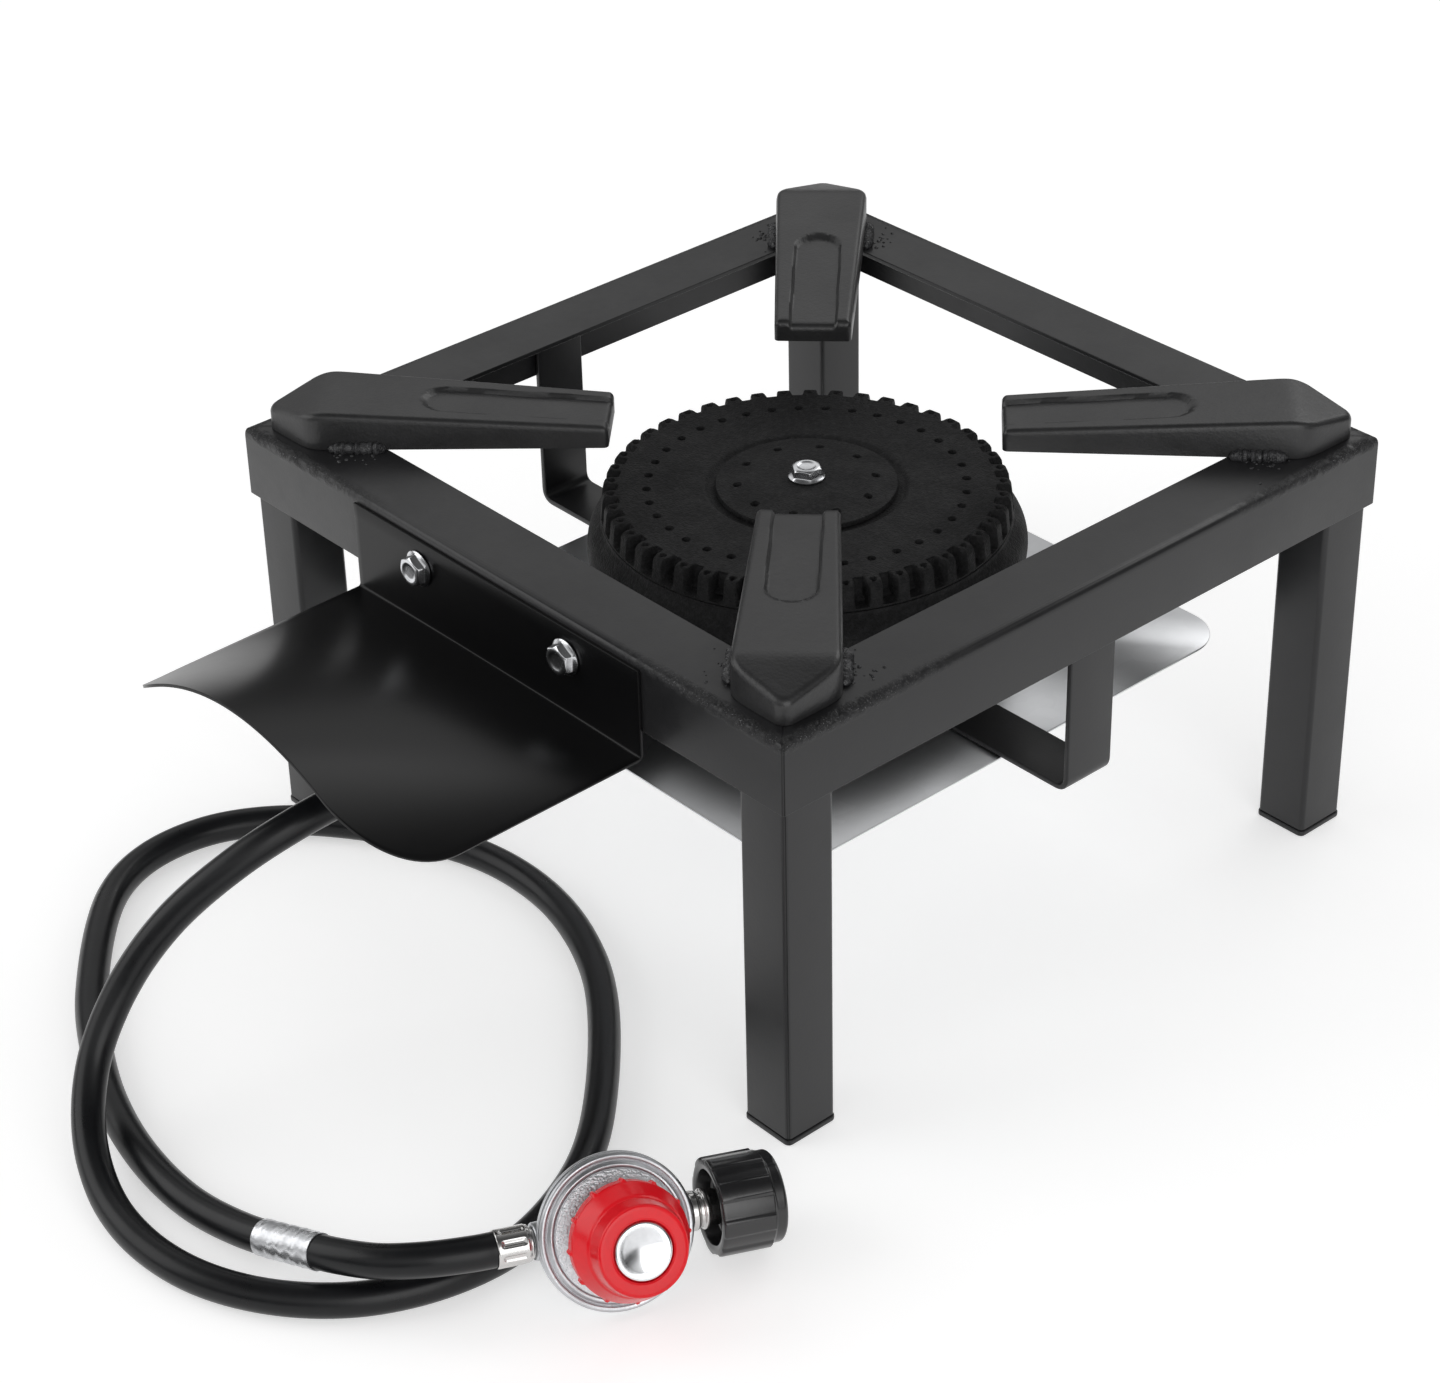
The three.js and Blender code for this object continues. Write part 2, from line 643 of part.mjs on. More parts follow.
function gasFittingGeometry() {
  const { shank, hex, nose, bore } = ORIFICE;
  const mouth = -VENTURI.mouth;
  const stem = rod(shank, mouth - 20, mouth + 12, 14);
  const flare = turned(
    [[0, mouth + 8], [nose, mouth + 8], [nose, mouth + 20], [nose - 3, mouth + 23], [0, mouth + 23]],
    14,
  );
  const body = join(stem, hexagon(hex, mouth + 4.6, mouth + 12), flare);
  return alongVenturi(cut(body, rod(bore, mouth - 30, mouth + 40, 6)));
}

function swivelNutGeometry() {
  const from = -SWIVEL.start;
  const to = -SWIVEL.end;
  const inside = turned(
    [[0, from - SINK], [6, from - SINK], [6, to - 7], [3.6, to - 4], [3.6, to + SINK], [0, to + SINK]],
    14,
  );
  return alongVenturi(cut(hexagon(SWIVEL.across, from, to), inside));
}

// A sleeve along Z from 0 to its length, with pressed grooves along it, a short neck and a bore.
function ferruleGeometry() {
  const { radius, length, crimps } = FERRULE;
  const points = [];
  for (let i = 0; i < crimps * 4; i++) {
    const r = i % 4 < 2 ? radius - 0.2 : radius - 1.1;
    const angle = (i * Math.PI) / (2 * crimps);
    points.push(new THREE.Vector2(r * Math.cos(angle), r * Math.sin(angle)));
  }
  const grooved = extrude(new THREE.Shape(points), length - 1.6);
  const neck = rod(radius - 1.6, length - 2, length, 16);
  return cut(join(grooved, neck), rod(3, -SINK, length + SINK, 8));
}

add("air_shutter", shutterGeometry(), zinc);
add("shutter_screw", shutterScrewGeometry(), zinc);
add("gas_fitting", gasFittingGeometry(), brass);
add("hose_swivel_nut", swivelNutGeometry(), brass);
const burnerFerrule = ferruleGeometry().rotateX(-Math.PI / 2).translate(0, -FERRULE.length, 0);
add("ferrule_burner", burnerFerrule, nickel).position.set(0, SWIVEL.end - GAP, VENTURI.z);

// ---- Hose ----------------------------------------------------------------------------------------

const hoseCurve = new THREE.CatmullRomCurve3(HOSE_ROUTE.map((p) => new THREE.Vector3(...p)));

function ring(radius, sides) {
  const points = [];
  for (let i = 0; i < sides; i++) {
    const angle = (i * 2 * Math.PI) / sides;
    points.push(new THREE.Vector2(radius * Math.cos(angle), radius * Math.sin(angle)));
  }
  return points;
}

function hoseGeometry() {
  const section = new THREE.Shape(ring(HOSE.radius, HOSE.sides));
  return new THREE.ExtrudeGeometry(section, { steps: HOSE.steps, extrudePath: hoseCurve });
}

// The foil band: a short sleeve round the hose.
function labelGeometry() {
  const inner = HOSE.radius + LABEL.gap;
  const section = new THREE.Shape(ring(inner + LABEL.thick, 16));
  section.holes.push(new THREE.Path(ring(inner, 16)));
  const length = hoseCurve.getLength();
  const reach = LABEL.length / 2 / length;
  const path = new THREE.CatmullRomCurve3([-1, 0, 1].map((t) => hoseCurve.getPointAt(LABEL.at + t * reach)));
  return new THREE.ExtrudeGeometry(section, { steps: 2, extrudePath: path });
}

add("gas_hose", hoseGeometry(), rubber);
add("hose_label", labelGeometry(), foil);

// ---- Regulator -----------------------------------------------------------------------------------

const regulator = new THREE.Group();
regulator.position.set(...REGULATOR.place);
regulator.rotation.set(rad(REGULATOR.roll), rad(REGULATOR.dip), rad(REGULATOR.yaw), "ZYX");
stand.add(regulator);

const alongX = (geometry) => geometry.rotateY(Math.PI / 2);

// Cup with a crimped rim, an outlet boss on one side and an inlet boss on the other.
function regulatorBodyGeometry() {
  const { rim, rimBack, back, backR } = REGULATOR;
  const cup = turned(
    [
      [0, back], [backR - 2, back], [backR, back + 2], [backR + 4, -2], [rim - 4, rimBack - 2],
      [rim, rimBack], [rim, seatLevel], [27, seatLevel], [25, 2], [18, -6], [0, -6],
    ],
    30,
  );
  const outlet = alongX(rod(7.8, SLEEVE_X + FERRULE.length + GAP, -18, 16));
  const inlet = alongX(rod(9.8, 18, REGULATOR.inletEnd, 16));
  const over = rod(rim + 1, seatLevel, seatLevel + 20, 30);
  return cut(join(cup, outlet, inlet), over, alongX(rod(3, -40, 40, 8)));
}

// A rubber disc clamped between the cup and the cover, with one fold.
function diaphragmGeometry() {
  const { rim } = REGULATOR;
  const z = seatLevel + GAP;
  const edge = rim - 0.6;
  return turned(
    [
      [0, z], [17, z], [19, z + 0.6], [21, z], [edge, z],
      [edge, z + 1], [21, z + 1], [19, z + 1.6], [17, z + 1], [0, z + 1],
    ],
    20,
  );
}

// The cover: a second rim, a domed face and a threaded neck. Its bore holds the spring.
function bonnetGeometry() {
  const { rim, bonnetTop, neck } = REGULATOR;
  const z = seatLevel + 1 + 2 * GAP;
  return turned(
    [
      [25, z], [rim, z], [rim, z + 1.4], [rim - 1, z + 2.4], [rim - 3, z + 2.4], [rim - 3.6, z + 1.6],
      [rim - 4.8, z + 2.8], [rim - 7, z + 3.6], [22, z + 6], [neck + 2, z + 8], [neck, z + 10],
      [neck, bonnetTop], [11, bonnetTop], [11, z + 8], [20, z + 3], [25, z],
    ],
    30,
  );
}

// A coil of round wire between two heights, with its turns as one swept tube.
function springGeometry({ radius, wire, turns }, from, to) {
  const points = [];
  const steps = turns * 8;
  for (let i = 0; i <= steps; i++) {
    const angle = (i / steps) * turns * 2 * Math.PI;
    const z = THREE.MathUtils.lerp(from + wire, to - wire, i / steps);
    points.push(new THREE.Vector3(radius * Math.cos(angle), radius * Math.sin(angle), z));
  }
  const path = new THREE.CatmullRomCurve3(points);
  return new THREE.ExtrudeGeometry(new THREE.Shape(ring(wire, 5)), { steps, extrudePath: path });
}

add("regulator_body", regulatorBodyGeometry(), dieCast, regulator);
add("regulator_diaphragm", diaphragmGeometry(), rubber, regulator);
add("regulator_bonnet", bonnetGeometry(), dieCast, regulator);

const plateZ = seatLevel + 1 + 2 * GAP;
const plate = turned(
  [[0, plateZ], [10, plateZ], [10, plateZ + 1.2], [5, plateZ + 1.2], [5, plateZ + 3], [0, plateZ + 3]],
  16,
);
add("diaphragm_plate", plate, springSteel, regulator);

const seatZ = REGULATOR.bonnetTop - 4;
const spring = springGeometry(SPRING, plateZ + 1.4 + KNOB_TRAVEL, seatZ - GAP);
add("pressure_spring", spring, springSteel, regulator);

const seatThick = 3;
const seat = turned(
  [[0, seatZ], [9.6, seatZ], [9.6, seatZ + 2], [4, seatZ + seatThick], [0, seatZ + seatThick]],
  16,
);
add("spring_seat", seat, springSteel, regulator);

const screwZ = seatZ + seatThick + GAP;
const screwHead = screwZ + SCREW.headHeight;
const screwTop = KNOB.top - 8;
const screw = turned(
  [
    [0, screwZ], [SCREW.head, screwZ], [SCREW.head, screwHead], [SCREW.shank, screwHead + 1],
    [SCREW.shank, screwTop], [0, screwTop],
  ],
  16,
);
add("adjusting_screw", screw, brass, regulator);

// The knob: a skirt with grip nubs, a slope, a stepped crown and a well for its cap.
function knobOutline() {
  const { skirt, nub, nubs } = KNOB;
  const corners = [[-3.5, 0], [-1.3, nub], [1.3, nub], [3.5, 0], [10, 0], [20, 0]];
  const points = [];
  for (let i = 0; i < nubs; i++) {
    for (const [degrees, out] of corners) {
      const angle = ((degrees + (i * 360) / nubs) * Math.PI) / 180;
      points.push(new THREE.Vector2((skirt + out) * Math.cos(angle), (skirt + out) * Math.sin(angle)));
    }
  }
  return new THREE.Shape(points);
}

function knobGeometry() {
  const { skirt, base, shelf, shoulder, shoulderZ, top, crown, capR } = KNOB;
  const { neck, bonnetTop } = REGULATOR;
  const roof = bonnetTop + KNOB_TRAVEL + 0.8;
  const band = extrude(knobOutline(), shelf - base - 1).translate(0, 0, base);
  const bell = turned(
    [
      [0, base], [skirt - 0.8, base], [skirt - 0.8, shelf], [shoulder, shoulderZ], [shoulder - 1, shoulderZ + 1],
      [crown, top - 1.2], [crown - 1, top], [0, top],
    ],
    28,
  );
  const under = turned(
    [
      [0, base - SINK], [skirt - 3.4, base - SINK], [skirt - 3.4, base + 4], [neck + 1.6, base + 7],
      [neck + 1.6, roof], [0, roof],
    ],
    24,
  );
  const socket = rod(SCREW.shank + GAP, roof - SINK, screwTop + GAP, 16);
  const collar = rod(SCREW.head + GAP, roof - SINK, screwHead + 1 + GAP, 16);
  const floor = top - KNOB.well;
  const well = turned([[0, floor], [capR, floor], [capR + 0.8, top + SINK], [0, top + SINK]], 28);
  return cut(join(bell, band), under, socket, collar, well);
}

add("knob", knobGeometry(), redPlastic, regulator);
const capZ = KNOB.top - KNOB.well + GAP;
const capR = KNOB.capR - GAP;
const dishedCap = turned(
  [
    [0, capZ], [capR, capZ], [capR, capZ + 1.6], [capR - 1.6, capZ + 2.2], [capR - 3.4, capZ + 1.4],
    [0, capZ + 0.9],
  ],
  28,
);
add("knob_cap", dishedCap, zinc, regulator);

// ---- Inlet and tank nut ---------------------------------------------------------------------------

// A hollow stem with a flange that the tank nut turns on.
function nippleGeometry() {
  const { radius, bore, end, flange, flangeThick, base } = NIPPLE;
  const from = REGULATOR.inletEnd + GAP;
  const shoulder = TANK_NUT.start - 1.4;
  const seat = TANK_NUT.start + TANK_NUT.recess + TANK_NUT.web + GAP;
  const neck = radius + 1.2;
  const stem = turned(
    [
      [0, from], [base, from], [base, shoulder], [neck, shoulder + 0.8], [neck, seat], [flange, seat],
      [flange, seat + flangeThick], [radius, seat + flangeThick + 0.8], [radius, end - 4],
      [radius - 2, end], [0, end],
    ],
    20,
  );
  return alongX(cut(stem, rod(bore, from - SINK, end + SINK, 8)));
}

function tankNutOutline() {
  const { radius, rib, ribs } = TANK_NUT;
  const points = [];
  const perRib = 6;
  const steps = ribs * perRib;
  for (let i = 0; i < steps; i++) {
    const phase = i % perRib;
    const r = phase < 3 ? radius + rib : radius - 0.6;
    const angle = (i * 2 * Math.PI) / steps;
    points.push(new THREE.Vector2(r * Math.cos(angle), r * Math.sin(angle)));
  }
  return new THREE.Shape(points);
}

// Ribs from the regulator's end to a plain collar, a recess, the web and the socket.
function tankNutGeometry() {
  const { radius, start, end, inner, collar } = TANK_NUT;
  const ribbed = extrude(tankNutOutline(), end - collar - start - 1).translate(0, 0, start + 1);
  const plain = radius - 0.8;
  const core = turned(
    [
      [0, start], [plain - 1.2, start], [plain, start + 1.2], [plain, end - 1], [plain - 1.2, end],
      [0, end],
    ],
    32,
  );
  const web = start + TANK_NUT.recess;
  const recess = turned([[0, start - SINK], [inner, start - SINK], [inner - 1.4, web], [0, web]], 24);
  const hole = rod(NIPPLE.radius + 2, start - SINK, end + SINK, 20);
  const thread = web + TANK_NUT.web;
  const socket = turned(
    [[0, thread], [inner - 1, thread], [inner, thread + 1.4], [inner, end + SINK], [0, end + SINK]],
    28,
  );
  return alongX(cut(join(ribbed, core), recess, hole, socket));
}

function sealGeometry() {
  const { radius, end } = NIPPLE;
  const r = radius + GAP;
  const z = end - 5.4;
  return alongX(turned([[r, z], [r + 1.6, z], [r + 1.6, z + 2.4], [r, z + 2.4], [r, z]], 18));
}

add("inlet_nipple", nippleGeometry(), brass, regulator);
add("nipple_seal", sealGeometry(), rubber, regulator);
add("tank_nut", tankNutGeometry(), blackPlastic, regulator);
const regulatorFerrule = alongX(ferruleGeometry());
add("ferrule_regulator", regulatorFerrule, nickel, regulator).position.x = SLEEVE_X;

// ---- Whole ---------------------------------------------------------------------------------------

stand.position.y = standShift;
const whole = new THREE.Group();
whole.add(stand);
export default whole;
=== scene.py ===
"""Propane burner stand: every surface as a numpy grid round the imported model, with procedural finishes.

Lengths inside the functions are millimetres in the model's own frame: +Z up, the floor at 0, the hose
guard towards -Y. mesh_of() turns them into metres. The hose's route and the stage are in metres.
"""

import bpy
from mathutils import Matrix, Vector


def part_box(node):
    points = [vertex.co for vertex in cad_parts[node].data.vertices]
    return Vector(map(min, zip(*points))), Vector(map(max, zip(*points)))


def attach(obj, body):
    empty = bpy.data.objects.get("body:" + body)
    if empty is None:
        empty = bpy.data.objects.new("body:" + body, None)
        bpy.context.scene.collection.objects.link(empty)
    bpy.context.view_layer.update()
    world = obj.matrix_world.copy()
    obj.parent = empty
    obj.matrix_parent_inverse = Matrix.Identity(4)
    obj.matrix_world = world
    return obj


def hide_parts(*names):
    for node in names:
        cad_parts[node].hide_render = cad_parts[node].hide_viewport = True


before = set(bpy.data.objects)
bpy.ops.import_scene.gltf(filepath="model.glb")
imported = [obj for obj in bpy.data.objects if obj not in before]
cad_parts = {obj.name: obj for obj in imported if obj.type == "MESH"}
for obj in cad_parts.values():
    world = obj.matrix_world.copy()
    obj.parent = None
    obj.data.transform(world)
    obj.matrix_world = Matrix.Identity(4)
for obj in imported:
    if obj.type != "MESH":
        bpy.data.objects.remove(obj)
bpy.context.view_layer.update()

import math
from dataclasses import dataclass

import bmesh
import bpy
import numpy as np
from bpy.props import FloatProperty, FloatVectorProperty, IntProperty, PointerProperty
from mathutils import Matrix

bl_info = {
    "name": "Propane Burner Stand",
    "version": (1, 0, 0),
    "blender": (4, 5, 0),
    "location": "3D View > Sidebar > Burner Stand",
    "description": "Builds the stand, burner, hose and regulator piece by piece",
    "category": "Add Mesh",
}

MM = 0.001
TURN = 2 * math.pi
SHARP = math.radians(38)  # edges that turn by more than this stay hard
MERGE = 2e-6  # points nearer than this are one


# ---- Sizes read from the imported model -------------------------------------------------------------


def box_mm(node):
    """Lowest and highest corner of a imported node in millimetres."""
    return np.array(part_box(node), float) / MM


RAIL_LOW, RAIL_HIGH = box_mm("rail_right")
STAND_Y = (RAIL_LOW[1] + RAIL_HIGH[1]) / 2  # the burner's axis
STAND_HALF = RAIL_HIGH[0]
RAIL_TOP = RAIL_HIGH[2]
RAIL_LEG = RAIL_TOP - RAIL_LOW[2]  # one leg of the angle iron
CENTRE = np.array([0.0, STAND_Y, 0.0])
SHIELD_LOW, SHIELD_HIGH = box_mm("heat_shield")
STRAP_LOW, STRAP_HIGH = box_mm("burner_strap")
GUARD_LOW, GUARD_HIGH = box_mm("hose_guard")
INLET_Z = box_mm("gas_fitting")[:, 2].mean()
CORNERS = ["front_left", "front_right", "back_right", "back_left"]

# The regulator's own axes: x along its inlet towards the tank nut, z towards its knob.
REGULATOR_PLACE = np.array([209.5, STAND_Y - 315.3, 29.9])
REGULATOR_YAW, REGULATOR_DIP, REGULATOR_ROLL = np.radians([68.0, 4.0, 63.4])


def turn(axis, angle):
    """A turn about x, y or z (0, 1 or 2), as a 3 by 3 matrix."""
    i, j = (axis + 1) % 3, (axis + 2) % 3
    made = np.eye(3)
    made[[i, j], [i, j]] = math.cos(angle)
    made[j, i] = math.sin(angle)
    made[i, j] = -math.sin(angle)
    return made


REGULATOR_AXES = turn(2, REGULATOR_YAW) @ turn(1, REGULATOR_DIP) @ turn(0, REGULATOR_ROLL)
NUT_TURN = 0.30  # how far the tank nut's first rib is turned from the regulator's own Y

LABEL_AT = 0.934  # the foil band's middle, as a share of the hose's length
# The hose's centre line, from the burner's sleeve to the regulator's, in metres from the burner's axis.
HOSE_ROUTE = np.array(
    [
        (0, -0.2402, 0.145), (0, -0.28, 0.145), (-0.003, -0.316, 0.141), (-0.014, -0.348, 0.126),
        (-0.03, -0.377, 0.099), (-0.0385, -0.401, 0.0685), (-0.033, -0.4235, 0.042),
        (-0.0135, -0.442, 0.0225), (0.017, -0.455, 0.0112), (0.052, -0.46, 0.0083), (0.09, -0.455, 0.0082),
        (0.124, -0.438, 0.0082), (0.151, -0.411, 0.0082), (0.167, -0.377, 0.0082), (0.171, -0.34, 0.0082),
        (0.16, -0.302, 0.0082), (0.137, -0.265, 0.0082), (0.066, -0.199, 0.0082), (0.024, -0.174, 0.0082),
        (-0.022, -0.16, 0.0082), (-0.068, -0.16, 0.0082), (-0.111, -0.174, 0.0082),
        (-0.148, -0.1955, 0.0082), (-0.176, -0.221, 0.0082), (-0.193, -0.253, 0.0082),
        (-0.1945, -0.288, 0.0082), (-0.1795, -0.3205, 0.0082), (-0.118, -0.374, 0.0082),
        (-0.079, -0.397, 0.0082), (-0.037, -0.4155, 0.0082), (0.007, -0.4265, 0.0084),
        (0.049, -0.4295, 0.01), (0.087, -0.4255, 0.015), (0.119, -0.418, 0.022), (0.14, -0.4125, 0.027),
        (0.159, -0.4038, 0.031), (0.1745, -0.39, 0.0336), (0.1866, -0.372, 0.0342),
        (0.1896, -0.3646, 0.0336),
    ]
) + [0, STAND_Y * MM, 0]


# ---- Settings -------------------------------------------------------------------------------------


def length(label, text, millimetres):
    options = {"min": 0, "unit": "LENGTH", "precision": 4}
    return FloatProperty(name=label, description=text, default=millimetres * MM, **options)


def colour(label, text, rgb):
    options = {"min": 0, "max": 1, "size": 3, "subtype": "COLOR"}
    return FloatVectorProperty(name=label, description=text, default=rgb, **options)


class StandSettings(bpy.types.PropertyGroup):
    """Sizes and colours of the frame, its legs, supports, strap, shield and guard."""

    rail_wall: length("Angle wall", "Thickness of the angle iron", 2.5)
    rail_bend: length("Angle bend", "Radius of the angle's outer bend", 5.0)
    support_edge: length("Support edge", "Radius along the top edge of a pot support", 3.4)
    channel_depth: length("Channel depth", "Depth of the channel in a pot support", 2.2)
    guard_bend: length("Guard bend", "Radius of the guard's bend", 3.0)
    guard_rise: length("Guard rise", "How far the guard's middle climbs to its free edge", 42.0)
    guard_arch: length("Guard arch", "How far the guard's sides stay below its middle", 44.0)
    coat: colour("Frame coat", "Powder coat on the frame", (0.011, 0.011, 0.0118))
    support_coat: colour("Support coat", "Coat on the cast pot supports", (0.016, 0.016, 0.0166))
    guard_coat: colour("Guard coat", "Gloss coat on the guard", (0.0035, 0.0035, 0.0038))
    shield: colour("Heat shield", "Bright sheet steel", (0.74, 0.75, 0.765))


class BurnerSettings(bpy.types.PropertyGroup):
    """Sizes and colours of the burner and its gas inlet."""

    teeth: IntProperty(name="Teeth", description="Teeth round the rim, one port in each", default=45, min=8)
    middle_ports: IntProperty(name="Middle ports", description="Ports in the middle ring", default=36, min=3)
    inner_ports: IntProperty(name="Inner ports", description="Ports in the centre cap", default=10, min=3)
    port: length("Port", "Diameter of a gas port", 3.8)
    iron: colour("Cast iron", "Rough black casting", (0.0045, 0.0045, 0.0048))


class HoseSettings(bpy.types.PropertyGroup):
    """Sizes and colours of the hose and its sleeves."""

    diameter: length("Hose diameter", "Outside diameter of the hose", 16.0)
    label: length("Label length", "Length of the foil band", 34.0)
    rubber: colour("Rubber", "Satin black rubber", (0.006, 0.0063, 0.0072))
    foil: colour("Foil", "Silver foil of the band", (0.70, 0.71, 0.73))


class RegulatorSettings(bpy.types.PropertyGroup):
    """Sizes and colours of the regulator, its knob and the tank nut."""

    rim: length("Rim radius", "Radius of the body's outer rim", 35.5)
    nubs: IntProperty(name="Knob nubs", description="Grip nubs round the knob's skirt", default=12, min=3)
    ribs: IntProperty(name="Nut ribs", description="Ribs round the tank nut", default=8, min=3)
    metal: colour("Die cast", "Grey die-cast metal", (0.60, 0.61, 0.63))
    knob: colour("Knob", "Glossy red plastic", (0.78, 0.004, 0.012))
    nut: colour("Tank nut", "Glossy black plastic", (0.010, 0.010, 0.0108))


class StageSettings(bpy.types.PropertyGroup):
    """Camera, lamps and floor."""

    lens: FloatProperty(name="Lens", description="Focal length in mm on a 36 mm sensor", default=88.1)
    floor: colour("Floor", "Pale floor", (0.72, 0.72, 0.72))
    key: FloatProperty(name="Key lamp", description="Main lamp's power", default=20.0, min=0, unit="POWER")
    ambient: FloatProperty(name="Ambient", description="Light from all round", default=0.5, min=0)


# ---- Surfaces -------------------------------------------------------------------------------------


def smooth_step(x):
    """0 below 0, 1 above 1, and 3x^2 - 2x^3 between."""
    x = np.clip(x, 0, 1)
    return x * x * (3 - 2 * x)


def fillet(corners, radius, steps=5, closed=False):
    """A polyline whose corners are replaced by quadratic curves that start and end one radius away.

    Point = (1-t)^2 a + 2t(1-t) corner + t^2 b, with a and b on the two edges."""
    p = np.asarray(corners, float)
    before = np.roll(p, 1, 0) - p
    after = np.roll(p, -1, 0) - p
    size_b = np.linalg.norm(before, axis=1, keepdims=True)
    size_a = np.linalg.norm(after, axis=1, keepdims=True)
    wanted = np.broadcast_to(np.asarray(radius, float), len(p))[:, None]
    reach = np.minimum(wanted, 0.5 * np.minimum(size_a, size_b))
    a = (p + before / size_b * reach)[:, None]
    b = (p + after / size_a * reach)[:, None]
    t = np.linspace(0, 1, steps + 1)[None, :, None]
    curve = (1 - t) ** 2 * a + 2 * t * (1 - t) * p[:, None] + t**2 * b
    if not closed:
        curve[0] = p[0]
        curve[-1] = p[-1]
    return curve.reshape(-1, p.shape[1])


def angles(sides):
    return np.linspace(0, TURN, sides, endpoint=False)[:, None]


def revolve(radius, height, sides):
    """A profile turned round Z: x = r cos a, y = r sin a, z = h. Radius and height may change with a."""
    a = angles(sides)
    r = np.broadcast_to(radius, (sides, np.shape(height)[-1]))
    h = np.broadcast_to(height, r.shape)
    return np.stack([r * np.cos(a), r * np.sin(a), h], -1)


def turned(corners, rounding, sides=72, steps=5):
    """The fillet of (radius, height) corners, turned round Z. It starts and ends on the axis."""
    r, h = fillet(corners, rounding, steps).T
    return revolve(r, h, sides)


def ring_body(corners, rounding, sides=72, steps=5):
    """A closed profile that keeps off the axis, turned round Z."""
    r, h = fillet(corners, rounding, steps, closed=True).T
    return revolve(r, h, sides)


def ridge_offset(a, count, phase=0.0):
    """0 in the middle of each of count ridges round the axis, 1 halfway to the next one."""
    return np.abs(((a - phase) * count / TURN + 0.5) % 1.0 - 0.5) * 2


def ridges(a, count, share, soft, phase=0.0):
    """1 on each of count ridges round the axis and 0 between them: a soft square wave in the angle."""
    return 1 - smooth_step((ridge_offset(a, count, phase) - share + soft) / (2 * soft))


def slab(outline, low, high, edge, steps=4):
    """A plate with quarter-round edges: rings of outline(inset) from the middle of the underside, out
    to the side and back to the middle of the top."""
    a = np.linspace(0, math.pi / 2, steps + 1)
    inset = np.concatenate([edge * (1 - np.sin(a)), edge * (1 - np.sin(a[::-1]))])
    z = np.concatenate([low + edge * (1 - np.cos(a)), high - edge * (1 - np.cos(a[::-1]))])
    return capped(np.stack([level(outline(i), h) for i, h in zip(inset, z)]))


def level(loop, z):
    """A loop of (x, y) points at one height."""
    return np.column_stack([loop, np.full(len(loop), z)])


def capped(grid):
    """Adds a row at each end with all its points in that end's middle, which closes it."""
    first = np.broadcast_to(grid[0].mean(0), grid[0].shape)[None]
    last = np.broadcast_to(grid[-1].mean(0), grid[-1].shape)[None]
    return np.concatenate([first, grid, last])


def rounded_square(half, corner, steps=8):
    """outline(inset): four quarter circles of radius corner - inset about fixed centres."""
    a = np.concatenate([np.linspace(q, q + math.pi / 2, steps + 1) for q in np.arange(4) * math.pi / 2])
    centre = np.repeat([[1, 1], [-1, 1], [-1, -1], [1, -1]], steps + 1, 0) * (half - corner)

    def outline(inset):
        return centre + (corner - inset) * np.column_stack([np.cos(a), np.sin(a)])

    return outline


def sweep(path, section, reference=(0, 0, 1)):
    """A closed section carried along a path: point = path + x * side + y * up, where side is square to
    the path and the reference, and up square to both."""
    tangent = np.gradient(path, axis=0)
    tangent /= np.linalg.norm(tangent, axis=1, keepdims=True)
    side = np.cross(tangent, np.asarray(reference, float))
    side /= np.linalg.norm(side, axis=1, keepdims=True)
    up = np.cross(side, tangent)
    return path[:, None] + section[..., 0:1] * side[:, None] + section[..., 1:2] * up[:, None]


def circle(radius, sides):
    a = angles(sides)[:, 0]
    return np.column_stack([radius * np.cos(a), radius * np.sin(a)])


def catmull_rom(route, per_span):
    """Centripetal Catmull-Rom curve through the route: one cubic a span, its knots spaced by the
    square root of the distance between points."""
    p = np.asarray(route, float)
    p = np.concatenate([[2 * p[0] - p[1]], p, [2 * p[-1] - p[-2]]])
    p0, p1, p2, p3 = p[:-3], p[1:-2], p[2:-1], p[3:]
    spans = [(p0, p1), (p1, p2), (p2, p3)]
    d0, d1, d2 = (np.linalg.norm(b - a, axis=1, keepdims=True) ** 0.5 for a, b in spans)
    m1 = ((p1 - p0) / d0 - (p2 - p0) / (d0 + d1) + (p2 - p1) / d1) * d1
    m2 = ((p2 - p1) / d1 - (p3 - p1) / (d1 + d2) + (p3 - p2) / d2) * d1
    t = np.linspace(0, 1, per_span, endpoint=False)[None, :, None]
    c2 = -3 * p1 + 3 * p2 - 2 * m1 - m2
    c3 = 2 * p1 - 2 * p2 + m1 + m2
    curve = p1[:, None] + m1[:, None] * t + c2[:, None] * t**2 + c3[:, None] * t**3
    return np.concatenate([curve.reshape(-1, 3), p[-2:-1]])


def along_y(grid):
    """Lays a shape made along Z along -Y, on the burner's inlet axis."""
    return np.stack([grid[..., 0], STAND_Y - grid[..., 2], grid[..., 1] + INLET_Z], -1)


def along_x(grid):
    """Lays a shape made along Z along X."""
    return np.stack([grid[..., 2], grid[..., 1], -grid[..., 0]], -1)


def in_regulator(grid):
    """From the regulator's own axes to the model's."""
    return grid @ REGULATOR_AXES.T + REGULATOR_PLACE


def about_z(grid, angle):
    """Turns a shape about Z and moves it to the burner's axis."""
    return grid @ turn(2, angle).T + CENTRE


# ---- Pieces ---------------------------------------------------------------------------------------


